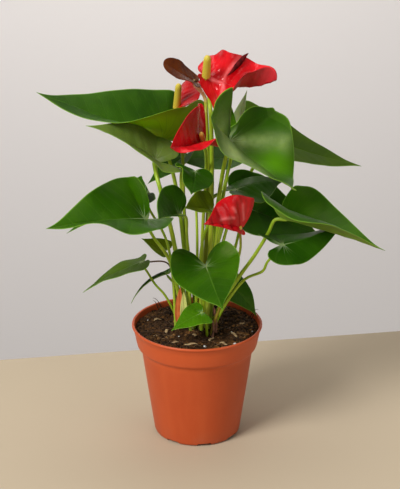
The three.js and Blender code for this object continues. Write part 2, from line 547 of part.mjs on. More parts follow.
for (const stem of BARE_STEMS) {
  addMesh(stem.name, plantedStem(stem.points, () => stem.radius).stem, 0x7a4a2c, 0.7);
}

for (const plan of BLOOMS) {
  const bloom = { ...BLADE, ...plan };
  const { stem, room } = plantedStem([bloom.foot, ...bloom.via, bloom.hub], taper(bloom.stalk));
  const spadix = toSolid(spadixGeometry(bloom)).subtract(room);
  const spadixRoom = toSolid(spadixGeometry(bloom, GAP));
  const sheet = toSolid(bladeGeometry(bloom, bloom.edge, SPATHE_THICKNESS));
  const spathe = sheet.subtract(room).subtract(spadixRoom);
  addMesh(`spathe_${bloom.name}`, spathe, 0xc4121c, 0.3);
  addMesh(`spadix_${bloom.name}`, spadix, 0xd9c13a, 0.6);
  addMesh(`peduncle_${bloom.name}`, stem, 0x6f8f2e, 0.45);
}

const pot = turned(outerProfile).subtract(potRoom(0)).subtract(footChannels()).subtract(drainHoles());
addMesh('pot', pot, 0xb5502d, 0.45);

let soil = potRoom(GAP).intersect(toSolid(groundGeometry()));
for (const room of rooms) soil = soil.subtract(room);
addMesh('soil', soil, 0x3a281c, 0.95);

export default group;
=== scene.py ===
import math
import random

import bpy
import numpy as np
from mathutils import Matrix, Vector, noise


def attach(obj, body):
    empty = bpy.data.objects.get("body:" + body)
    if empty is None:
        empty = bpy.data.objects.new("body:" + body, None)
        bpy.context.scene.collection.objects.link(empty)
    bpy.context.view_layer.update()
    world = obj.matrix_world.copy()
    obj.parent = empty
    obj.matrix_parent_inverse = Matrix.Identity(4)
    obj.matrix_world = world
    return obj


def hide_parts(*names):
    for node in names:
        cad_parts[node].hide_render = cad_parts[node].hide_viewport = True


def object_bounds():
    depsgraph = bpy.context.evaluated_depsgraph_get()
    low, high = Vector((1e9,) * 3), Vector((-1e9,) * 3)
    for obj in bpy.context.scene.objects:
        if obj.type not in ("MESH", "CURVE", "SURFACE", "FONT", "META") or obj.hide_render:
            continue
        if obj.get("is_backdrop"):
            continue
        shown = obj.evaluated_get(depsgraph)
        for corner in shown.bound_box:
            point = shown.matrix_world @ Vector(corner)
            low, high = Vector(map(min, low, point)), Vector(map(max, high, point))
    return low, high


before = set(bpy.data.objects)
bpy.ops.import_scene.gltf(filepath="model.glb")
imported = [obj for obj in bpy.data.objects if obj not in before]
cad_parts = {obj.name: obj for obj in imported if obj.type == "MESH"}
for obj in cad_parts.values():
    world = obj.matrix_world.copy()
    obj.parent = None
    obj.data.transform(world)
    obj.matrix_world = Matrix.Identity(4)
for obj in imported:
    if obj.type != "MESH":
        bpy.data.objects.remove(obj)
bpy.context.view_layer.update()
MM = 0.001

# ----------------------------------------------------------------------
# Pot: a nursery pot of thin satin polypropylene, moulded in one piece with a stepped band
# under the rim, a rolled lip, and channels and holes underneath that let water out.
POT_SIDES = 192
POT_HEIGHT = 107.7
POT_OUTSIDE = [
    (0, 0), (12, 0), (24, 0), (36.2, 0), (37.6, 0.25), (38.8, 0.9), (39.55, 1.9), (39.95, 3.4),
    (41.4, 13), (43.4, 27), (45.4, 41), (47.4, 55), (49.3, 69), (50.8, 80.2), (51.2, 83.0),
    (51.7, 84.2), (54.2, 86.5), (54.95, 87.4), (55.3, 88.4), (56.3, 93), (57.5, 99), (58.6, 104.9),
    (59.1, 105.4), (59.75, 105.7), (60, 106.2), (59.95, 107.1), (59.6, 107.55), (59.1, 107.7),
]
POT_INSIDE = [
    (58.3, 107.65), (57.7, 107.3), (57.4, 106.4), (56.9, 103), (55.6, 96), (53.9, 88.2),
    (53.3, 87.2), (50.5, 84.6), (49.9, 83.4), (47.9, 69), (44, 41), (40.2, 14), (38.4, 6),
    (36.8, 4.4), (24, 4.2), (0, 4.2),
]
FOOT_CHANNELS = {"count": 8, "width": 13, "height": 2.8, "start": 22, "end": 45, "turn": 10,
                 "edge": 0.7}
DRAIN_HOLES = {"radius": 3.5, "ring": 30, "bottom": 1.5, "top": 6, "sides": 24}
CREASE_ANGLE = 35


def new_piece(name, points, faces, material, attributes=None):
    """A smooth mesh piece. Attributes are numbers that its material reads at each point."""
    mesh = bpy.data.meshes.new(name)
    mesh.from_pydata([tuple(p) for p in np.asarray(points, float)], [], faces)
    mesh.update()
    for label, values in (attributes or {}).items():
        layer = mesh.attributes.new(label, "FLOAT", "POINT")
        layer.data.foreach_set("value", np.asarray(values, np.float32))
    mesh.materials.append(material)
    mesh.shade_smooth()
    piece = bpy.data.objects.new(name, mesh)
    bpy.context.scene.collection.objects.link(piece)
    return piece


def fit_piece(piece, node=None):
    """Fixes a finished piece to the one body. Node is the solid that it stands for."""
    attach(piece, "root")
    if node:
        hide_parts(node)


def band(rings, sides, first=0, flip=False):
    """Four-sided faces between rings of points that follow each other from a first point."""
    faces = []
    for low in range(first, first + (rings - 1) * sides, sides):
        for s in range(sides):
            a, b = low + s, low + (s + 1) % sides
            faces.append((a, a + sides, b + sides, b) if flip else (a, b, b + sides, a + sides))
    return faces


def fan(middle, first, sides, flip=False):
    """Three-sided faces from a middle point to the ring of points that starts at first."""
    pairs = [(first + s, first + (s + 1) % sides) for s in range(sides)]
    return [(middle, b, a) if flip else (middle, a, b) for a, b in pairs]


def lathe(profile, sides):
    """Points and faces of a profile of (radius, height) turned about the upright axis."""
    points, rings = [], []
    for radius, height in profile:
        count = 1 if radius == 0 else sides
        rings.append(range(len(points), len(points) + count))
        angles = 2 * math.pi * np.arange(count) / sides
        points += [(radius * math.cos(t), radius * math.sin(t), height) for t in angles]
    faces = []
    for low, high in zip(rings, rings[1:]):
        for i in range(sides):
            j = (i + 1) % sides
            if len(low) == 1:
                faces.append((low[0], high[j], high[i]))
            elif len(high) == 1:
                faces.append((low[i], low[j], high[0]))
            else:
                faces.append((low[i], low[j], high[j], high[i]))
    return np.array(points), faces


def new_group(name, inputs, outputs):
    """An empty shader node group with its sockets; inputs are (name, kind, value)."""
    tree = bpy.data.node_groups.new(name, "ShaderNodeTree")
    for label, kind, value in inputs:
        socket = tree.interface.new_socket(label, in_out="INPUT", socket_type="NodeSocket" + kind)
        if value is not None:
            socket.default_value = value
    for label, kind in outputs:
        tree.interface.new_socket(label, in_out="OUTPUT", socket_type="NodeSocket" + kind)
    return tree, tree.nodes.new("NodeGroupInput").outputs, tree.nodes.new("NodeGroupOutput").inputs


def feed(sockets, values):
    for socket, value in zip(sockets, values):
        if isinstance(value, bpy.types.NodeSocket):
            value.id_data.links.new(value, socket)
        elif value is not None:
            socket.default_value = value


def wire(sockets, **values):
    """Leads values and colours into the sockets that they name, with _ for each space."""
    feed([sockets[label.replace("_", " ")] for label in values], values.values())


def tree_of(values):
    return next(v.id_data for v in values if isinstance(v, bpy.types.NodeSocket))


def maths(operation, *values, clamp=False):
    node = tree_of(values).nodes.new("ShaderNodeMath")
    node.operation, node.use_clamp = operation, clamp
    feed(node.inputs, values)
    return node.outputs[0]


def times(*values, clamp=False):
    return maths("MULTIPLY", *values, clamp=clamp)


def plus(*values):
    return maths("ADD", *values)


def minus(*values):
    return maths("SUBTRACT", *values)


def ramp(value, low, high, out_low=0.0, out_high=1.0):
    """A smooth step of value, from low to high."""
    node = value.id_data.nodes.new("ShaderNodeMapRange")
    node.interpolation_type = "SMOOTHSTEP"
    feed(node.inputs, (value, low, high, out_low, out_high))
    return node.outputs[0]


def mix(share, first, second):
    """A blend of two colours by a share from 0 to 1."""
    node = share.id_data.nodes.new("ShaderNodeMix")
    node.data_type = "RGBA"
    full = [(*c, 1) if isinstance(c, tuple) else c for c in (first, second)]
    feed((node.inputs[0], node.inputs[6], node.inputs[7]), (share, *full))
    return node.outputs[2]


def object_place(tree):
    return tree.nodes.new("ShaderNodeTexCoord").outputs["Object"]


def speckle(tree, scale, detail=3.0, stretch=(1, 1, 1)):
    """Soft noise over the object's own coordinates, about 0.5."""
    place = object_place(tree)
    if stretch != (1, 1, 1):
        turn = tree.nodes.new("ShaderNodeMapping")
        wire(turn.inputs, Scale=stretch, Vector=place)
        place = turn.outputs[0]
    node = tree.nodes.new("ShaderNodeTexNoise")
    wire(node.inputs, Scale=scale, Detail=detail, Roughness=0.55, Vector=place)
    return node.outputs[0]


def place_group(tree, group, **values):
    node = tree.nodes.new("ShaderNodeGroup")
    node.node_tree = group
    wire(node.inputs, **values)
    return node.outputs


def new_material(name, **fixed):
    """A material with one Principled shader, and the values that are the same all over."""
    material = bpy.data.materials.new(name)
    material.use_nodes = True
    tree = material.node_tree
    shader = next(n for n in tree.nodes if n.type == "BSDF_PRINCIPLED")
    wire(shader.inputs, **fixed)
    return material, tree, shader.inputs


def bump(height, distance, strength=1.0):
    node = height.id_data.nodes.new("ShaderNodeBump")
    wire(node.inputs, Distance=distance, Strength=strength, Height=height)
    return node.outputs[0]


def height_in(tree):
    """How high a place on the piece lies."""
    split = tree.nodes.new("ShaderNodeSeparateXYZ")
    feed(split.inputs, [object_place(tree)])
    return split.outputs[2]


# Moulded plastic: a very fine orange-peel skin, faint streaks from the mould, and dust that
# gathers low down; dust and streaks come out as masks.
moulded, ins, outs = new_group(
    "moulded_plastic",
    [("Dust height", "Float", 0.02)],
    [("Dust", "Float"), ("Streak", "Float"), ("Skin", "Float")],
)
low_down = ramp(height_in(moulded), ins["Dust height"], 0.0)
patchy = ramp(speckle(moulded, 60, 5), 0.42, 0.7)
feed(outs, [
    times(low_down, patchy),
    ramp(speckle(moulded, 90, 2, (1, 1, 0.06)), 0.35, 0.75),
    speckle(moulded, 1400, 2),
])

pot_plastic, tree, sockets = new_material(
    "terracotta_plastic", Specular_IOR_Level=0.35, IOR=1.49,
)
skin = place_group(tree, moulded)
mottle = ramp(speckle(tree, 22, 4), 0.3, 0.75)
colour = mix(mottle, (0.43, 0.062, 0.012), (0.46, 0.069, 0.014))
# Painted light: the band under the rim is painted lighter, as it tilts up towards the light.
band_painted_light = ramp(height_in(tree), 0.078, 0.084, 0, 0.75)
colour = mix(band_painted_light, colour, (0.53, 0.083, 0.018))
colour = mix(times(skin["Streak"], 0.25), colour, (0.54, 0.10, 0.024))
colour = mix(times(skin["Dust"], 0.3), colour, (0.33, 0.13, 0.07))
wire(sockets, Base_Color=colour)
rough = plus(times(skin["Streak"], 0.05), 0.44)
rough = plus(rough, times(skin["Dust"], 0.2))
wire(sockets, Roughness=rough, Normal=bump(skin["Skin"], 0.00006, 0.5))

points, faces = lathe(POT_OUTSIDE + POT_INSIDE, POT_SIDES)
pot = new_piece("pot_shell", points * MM, faces, pot_plastic)


def cut(piece, tool_points, tool_faces):
    """Cuts a closed tool out of a piece, for good."""
    mesh = bpy.data.meshes.new("cutting_tool")
    mesh.from_pydata([tuple(p) for p in tool_points], [], tool_faces)
    tool = bpy.data.objects.new("cutting_tool", mesh)
    bpy.context.scene.collection.objects.link(tool)
    modifier = piece.modifiers.new("cut", "BOOLEAN")
    modifier.operation, modifier.object, modifier.solver = "DIFFERENCE", tool, "EXACT"
    bpy.context.view_layer.update()
    graph = bpy.context.evaluated_depsgraph_get()
    done = bpy.data.meshes.new_from_object(piece.evaluated_get(graph))
    piece.modifiers.clear()
    old, piece.data = piece.data, done
    bpy.data.meshes.remove(old)
    bpy.data.objects.remove(tool)
    bpy.data.meshes.remove(mesh)


channel_angles = [math.radians(FOOT_CHANNELS["turn"] + 360 * k / FOOT_CHANNELS["count"])
                  for k in range(FOOT_CHANNELS["count"])]
tool_points, tool_faces = [], []
for angle in channel_angles:
    across = np.array([-math.sin(angle), math.cos(angle)])
    out = np.array([math.cos(angle), math.sin(angle)])
    half, high, edge = (FOOT_CHANNELS["width"] / 2, FOOT_CHANNELS["height"],
                        FOOT_CHANNELS["edge"])
    section = [(-half, -3), (half, -3), (half, high - edge), (half - edge, high),
               (edge - half, high), (-half, high - edge)]
    first = len(tool_points)
    for reach in (FOOT_CHANNELS["start"], FOOT_CHANNELS["end"]):
        tool_points += [(*(out * reach + across * y), z) for y, z in section]
    count = len(section)
    tool_faces += [tuple(first + count - 1 - i for i in range(count)),
                   tuple(first + count + i for i in range(count))]
    for i in range(count):
        j = (i + 1) % count
        tool_faces.append((first + i, first + j, first + count + j, first + count + i))
cut(pot, np.array(tool_points) * MM, tool_faces)
tool_points, tool_faces = [], []
bottom, top, radius = DRAIN_HOLES["bottom"], DRAIN_HOLES["top"], DRAIN_HOLES["radius"]
ring, walls = lathe([(0, bottom), (radius, bottom), (radius, top), (0, top)],
                    DRAIN_HOLES["sides"])
for angle in channel_angles:
    middle = np.array([math.cos(angle), math.sin(angle), 0]) * DRAIN_HOLES["ring"]
    tool_faces += [tuple(len(tool_points) + i for i in f) for f in walls]
    tool_points += list(ring + middle)
cut(pot, np.array(tool_points) * MM, tool_faces)
pot.data.shade_smooth()
pot.data.set_sharp_from_angle(angle=math.radians(CREASE_ANGLE))
fit_piece(pot, "pot")

# ----------------------------------------------------------------------
# Soil: damp peat potting mix with bark chips, fine root fibres and a little perlite,
# poured in loose and settled into a low mound a few millimetres under the lip.
SOIL_TOP, SOIL_MOUND = 103.5, 3.0
SOIL_EDGE = 56.3
SOIL_RINGS, SOIL_SECTORS = 78, 216
SOIL_SIDE = [(55.6, 98), (53.2, 88), (49.6, 83), (43.6, 41), (37.6, 6.6), (36, 4.9)]
CRUMBS, FIBRES, PERLITE = 1500, 520, 12
CRUMB_REACH, FIBRE_REACH, PERLITE_REACH = 55.4, 54, 52
SPLINTER_POINTS = 9
FIBRE_STEP, FIBRE_LIMIT = 1.2, 55.6
LONG_FIBRES = [  # where each starts, and how far it leaps
    ((-34, 43, 104), (-8, 5, 7)), ((-37, 40, 104), (-5, 6, 5)),
    ((49, 20, 103), (8, 1.5, 8)), ((50, 16, 103), (6, 3, 5)),
]
LARGE_PERLITE = [(7, -44), (34, -38)]
CHIPS = [  # where each larger bark chip lies, its length, and which way it points
    ((-6, -41), 13, 8), ((34, -21), 10, -50), ((-28, -14), 7, 75), ((12, -31), 8, 62),
    ((-20, -36), 6, 20), ((24, -38), 7, -15), ((-38, -22), 6, 100), ((-2, -24), 6, -60),
    ((41, 4), 6, 40), ((-37, 12), 7, 15), ((3, 38), 8, -20), ((-14, 33), 6, 120),
]
luck = random.Random(7)


def ground(x, y):
    """How high the top of the soil lies at a place."""
    share = math.hypot(x, y) / 60
    lumps = 1.5 * noise.noise((x / 11, y / 11, 3)) + 1.3 * noise.noise((x / 4.5, y / 4.5, 9))
    grit = 0.8 * noise.noise((x / 1.7, y / 1.7, 5))
    return SOIL_TOP + SOIL_MOUND * (0.6 - share ** 2) + lumps + grit


def lump(middle, size, flat):
    """A rough pebble-like body: points and faces of a dented, squashed ball."""
    phi = (1 + 5 ** 0.5) / 2
    corners = [(-1, phi, 0), (1, phi, 0), (-1, -phi, 0), (1, -phi, 0), (0, -1, phi), (0, 1, phi),
               (0, -1, -phi), (0, 1, -phi), (phi, 0, -1), (phi, 0, 1), (-phi, 0, -1), (-phi, 0, 1)]
    sides = [(0, 11, 5), (0, 5, 1), (0, 1, 7), (0, 7, 10), (0, 10, 11), (1, 5, 9), (5, 11, 4),
             (11, 10, 2), (10, 7, 6), (7, 1, 8), (3, 9, 4), (3, 4, 2), (3, 2, 6), (3, 6, 8),
             (3, 8, 9), (4, 9, 5), (2, 4, 11), (6, 2, 10), (8, 6, 7), (9, 8, 1)]
    body = np.array(corners) / math.hypot(1, phi)
    body = body * np.array([[luck.uniform(0.75, 1.25)] for _ in corners]) * np.array(size)
    a, b = luck.uniform(0, 6.28), luck.uniform(-flat, flat)
    spin = np.array([[math.cos(a), -math.sin(a), 0], [math.sin(a), math.cos(a), 0], [0, 0, 1]])
    tip = np.array([[1, 0, 0], [0, math.cos(b), -math.sin(b)], [0, math.sin(b), math.cos(b)]])
    return body @ tip.T @ spin.T + np.array(middle), sides


def closed_band(rings, sides):
    ends = [tuple(range(sides))[::-1], tuple((rings - 1) * sides + s for s in range(sides))]
    return band(rings, sides) + ends


def strand(path, radii, sides=5):
    """Points and faces of a closed tube that follows a path of points."""
    path = np.asarray(path, float)
    count = len(path)
    tangents = np.gradient(path, axis=0)
    tangents /= np.linalg.norm(tangents, axis=1)[:, None] + 1e-12
    across = np.cross(tangents[0], (0.3, 0.2, 1.0) if abs(tangents[0][2]) < 0.9 else (1.0, 0.1, 0))
    points = []
    for i in range(count):
        across = across - tangents[i] * (across @ tangents[i])
        across /= np.linalg.norm(across)
        beside = np.cross(tangents[i], across)
        for s in range(sides):
            angle = 2 * math.pi * s / sides
            outwards = across * math.cos(angle) + beside * math.sin(angle)
            points.append(path[i] + radii[i] * outwards)
    return np.array(points), closed_band(count, sides)


class Heap:
    """Many small bodies gathered into one piece, each with its own shade."""

    def __init__(self):
        self.points, self.faces, self.shades = [], [], []

    def add(self, body, shade):
        first = len(self.points)
        points, faces = body
        self.points += [tuple(p) for p in points]
        self.faces += [tuple(first + i for i in face) for face in faces]
        self.shades += [shade] * len(points)

    def settle(self, name, material):
        piece = new_piece(name, np.array(self.points) * MM, self.faces, material,
                          {"shade": self.shades})
        fit_piece(piece)


def attribute(tree, name):
    node = tree.nodes.new("ShaderNodeAttribute")
    node.attribute_name = name
    return node.outputs["Fac"]


def colours(value, stops):
    """Colours set along a value from 0 to 1."""
    node = value.id_data.nodes.new("ShaderNodeValToRGB")
    while len(node.color_ramp.elements) < len(stops):
        node.color_ramp.elements.new(0.5)
    for element, (place, colour) in zip(node.color_ramp.elements, stops):
        element.position, element.color = place, (*colour, 1)
    feed(node.inputs, [value])
    return node.outputs[0]


peat, tree, sockets = new_material("damp_peat", Specular_IOR_Level=0.15)
coarse, fine = speckle(tree, 150, 6), speckle(tree, 900, 5)
tint = colours(coarse, [(0.30, (0.010, 0.005, 0.001)), (0.5, (0.045, 0.019, 0.005)),
                        (0.62, (0.12, 0.05, 0.012)), (0.75, (0.25, 0.11, 0.028))])
wire(sockets, Base_Color=mix(ramp(fine, 0.45, 0.75), tint, (0.07, 0.03, 0.008)),
     Roughness=ramp(fine, 0.3, 0.7, 0.62, 0.95), Normal=bump(fine, 0.0006))

points = [(0, 0, ground(0, 0))]
rings = [(SOIL_EDGE * ring / SOIL_RINGS, None, ring % 2) for ring in range(1, SOIL_RINGS + 1)]
rings += [(radius, height, SOIL_RINGS % 2) for radius, height in SOIL_SIDE]
for reach, height, odd in rings:
    for s in range(SOIL_SECTORS):
        angle = 2 * math.pi * (s + 0.5 * odd) / SOIL_SECTORS
        x, y = reach * math.cos(angle), reach * math.sin(angle)
        points.append((x, y, ground(x, y) if height is None else height))
points.append((0, 0, SOIL_SIDE[-1][1]))
last = len(points) - 1
faces = fan(0, 1, SOIL_SECTORS)
faces += band(SOIL_RINGS + len(SOIL_SIDE), SOIL_SECTORS, first=1, flip=True)
faces += fan(last, last - SOIL_SECTORS, SOIL_SECTORS, flip=True)
soil = new_piece("soil_mix", np.array(points) * MM, faces, peat)
fit_piece(soil, "soil")


def spot(limit):
    """A random place on the soil, no farther than the limit from its middle."""
    reach, angle = limit * math.sqrt(luck.random()), luck.uniform(0, 2 * math.pi)
    return reach * math.cos(angle), reach * math.sin(angle)


# Crumbs of peat that lie loose on the mix, dark when wet and brown where they have dried.
crumb, tree, sockets = new_material("peat_crumb", Specular_IOR_Level=0.15)
shade = attribute(tree, "shade")
tint = colours(shade, [(0.0, (0.006, 0.003, 0.001)), (0.45, (0.035, 0.015, 0.004)),
                       (0.75, (0.11, 0.048, 0.012)), (1.0, (0.28, 0.135, 0.04))])
grit = speckle(tree, 1100, 4)
wire(sockets, Base_Color=mix(ramp(grit, 0.4, 0.7, 0, 0.6), tint, (0.022, 0.010, 0.003)),
     Roughness=ramp(grit, 0.3, 0.7, 0.6, 0.95), Normal=bump(grit, 0.0004))
crumbs = Heap()
for _ in range(CRUMBS):
    x, y = spot(CRUMB_REACH)
    size = 0.45 + 1.5 * luck.random() ** 3
    sizes = [size * luck.uniform(0.7, 1.5), size * luck.uniform(0.7, 1.2),
             size * luck.uniform(0.5, 0.9)]
    crumbs.add(lump((x, y, ground(x, y) + 0.25 * size), sizes, 0.7), luck.random() ** 1.6)
crumbs.settle("soil_crumbs", crumb)

# Fine root fibres: short curved threads on the mix, and four that stand out over the lip.
fibre, tree, sockets = new_material("root_fibre", Specular_IOR_Level=0.3, Roughness=0.75)
shade = attribute(tree, "shade")
tint = colours(shade, [(0.0, (0.012, 0.006, 0.003)), (0.55, (0.06, 0.026, 0.012)),
                       (0.85, (0.17, 0.085, 0.035)), (1.0, (0.32, 0.2, 0.09))])
fleck = ramp(speckle(tree, 700, 3), 0.35, 0.7, 0, 0.5)
wire(sockets, Base_Color=mix(fleck, tint, (0.02, 0.01, 0.005)))
fibres = Heap()
for _ in range(FIBRES):
    x, y = spot(FIBRE_REACH)
    heading = luck.uniform(0, 2 * math.pi)
    path, turn, lift = [], luck.uniform(-0.25, 0.25), luck.uniform(0.2, 2.4) * luck.random()
    steps = luck.randint(7, 16)
    for i in range(steps):
        path.append((x, y, ground(x, y) + 0.15 + lift * math.sin(math.pi * i / (steps - 1))))
        heading += turn + luck.uniform(-0.3, 0.3)
        x, y = x + FIBRE_STEP * math.cos(heading), y + FIBRE_STEP * math.sin(heading)
        if math.hypot(x, y) > FIBRE_LIMIT:
            x, y = x * 0.97, y * 0.97
            heading += 1.4
    thick = luck.uniform(0.09, 0.26)
    fibres.add(strand(path, [thick * (1 - 0.6 * i / steps) for i in range(steps)], 4),
               luck.random())
for start, leap in LONG_FIBRES:
    path = [np.array(start) + np.array(leap) * t + np.array((0, 0, 3)) * math.sin(3 * t)
            for t in np.linspace(0, 1, SPLINTER_POINTS)]
    fibres.add(strand(path, np.linspace(0.5, 0.15, SPLINTER_POINTS), 5), 0.25)
fibres.settle("soil_fibres", fibre)

# Bark chips: flat brown splinters, thickest in the middle and a little bent.
bark, tree, sockets = new_material("bark_chip", Specular_IOR_Level=0.3, Roughness=0.8)
grain = speckle(tree, 260, 5, (1, 3, 3))
tint = colours(grain, [(0.3, (0.16, 0.085, 0.035)), (0.5, (0.36, 0.24, 0.115)),
                       (0.7, (0.52, 0.4, 0.22))])
wire(sockets, Base_Color=tint, Normal=bump(grain, 0.0008))
chips = Heap()
for (x, y), length, turn in CHIPS:
    heading, path = math.radians(turn), []
    for t in np.linspace(-0.5, 0.5, SPLINTER_POINTS):
        px = x + length * t * math.cos(heading) + 1.4 * (t * t * 4) * math.sin(heading)
        py = y + length * t * math.sin(heading) - 1.4 * (t * t * 4) * math.cos(heading)
        path.append((px, py, ground(px, py) + 0.9))
    spread = [0.35 + 1.25 * math.sin(math.pi * min(max(t, 0.06), 0.94)) * luck.uniform(0.85, 1.15)
              for t in np.linspace(0, 1, SPLINTER_POINTS)]
    points, faces = strand(path, spread, 6)
    middle = np.repeat(np.array(path), 6, axis=0)
    chips.add((middle + (points - middle) * (1, 1, 0.45), faces), luck.random())
chips.settle("soil_bark_chips", bark)

# Perlite: white grains of foamed volcanic glass.
glass_foam, tree, sockets = new_material("perlite", Specular_IOR_Level=0.4, Roughness=0.7)
pits = speckle(tree, 800, 4)
wire(sockets, Base_Color=colours(pits, [(0.35, (0.42, 0.4, 0.36)), (0.6, (0.78, 0.77, 0.74))]),
     Normal=bump(pits, 0.0005))
perlite = Heap()
for i in range(PERLITE):
    x, y = spot(PERLITE_REACH)
    if i < len(LARGE_PERLITE):
        x, y = LARGE_PERLITE[i]
    size = 1.3 if i < len(LARGE_PERLITE) else luck.uniform(0.35, 0.9)
    perlite.add(lump((x, y, ground(x, y) + 0.5 * size), (size * 1.3, size, size * 0.8), 0.6), 0)
perlite.settle("soil_perlite", glass_foam)

# ----------------------------------------------------------------------
# Leaves: leathery heart-shaped blades, glossy above and dull below, each on a slim round
# stalk that rises from the crown, swells a little under the blade and holds it by the hub.
# Half of a blade's outline, from its tip round one side to the notch at the stalk: the
# first number runs along the midrib and the second across it, as shares of the length.
LEAF_EDGE = [
    (1, 0), (0.93, 0.022), (0.84, 0.065), (0.68, 0.165), (0.48, 0.285), (0.27, 0.39),
    (0.08, 0.45), (-0.1, 0.44), (-0.24, 0.36), (-0.3, 0.24), (-0.25, 0.12), (-0.13, 0.035),
    (-0.05, 0),
]
# Every blade starts from these shapes. Angles are in degrees; pairs are the left and right
# side, seen from the stalk towards the tip with the upper face up.
BLADE = dict(width=1, fold=(18, 18), curl=(0, 0), tipFold=(0, 0), rearFold=(0, 0), twist=0, arch=0,
             bend=0, heel=(0.3, 0.3), lobes=(1, 1), wave=0.012, halves=(1, 1), notch=(0, 0),
             curls=((0,) * 5, (0,) * 5), glow=(), painted_sheen=(), crest=(), rosy=0, taper=1.6, drop=0.6)
# A blade that is rolled up unevenly has rolls and curls instead of folds: the angle of each
# half at these stations along it, and how much it curls over there.
STATIONS = np.array((-0.3, 0, 0.3, 0.65, 1))
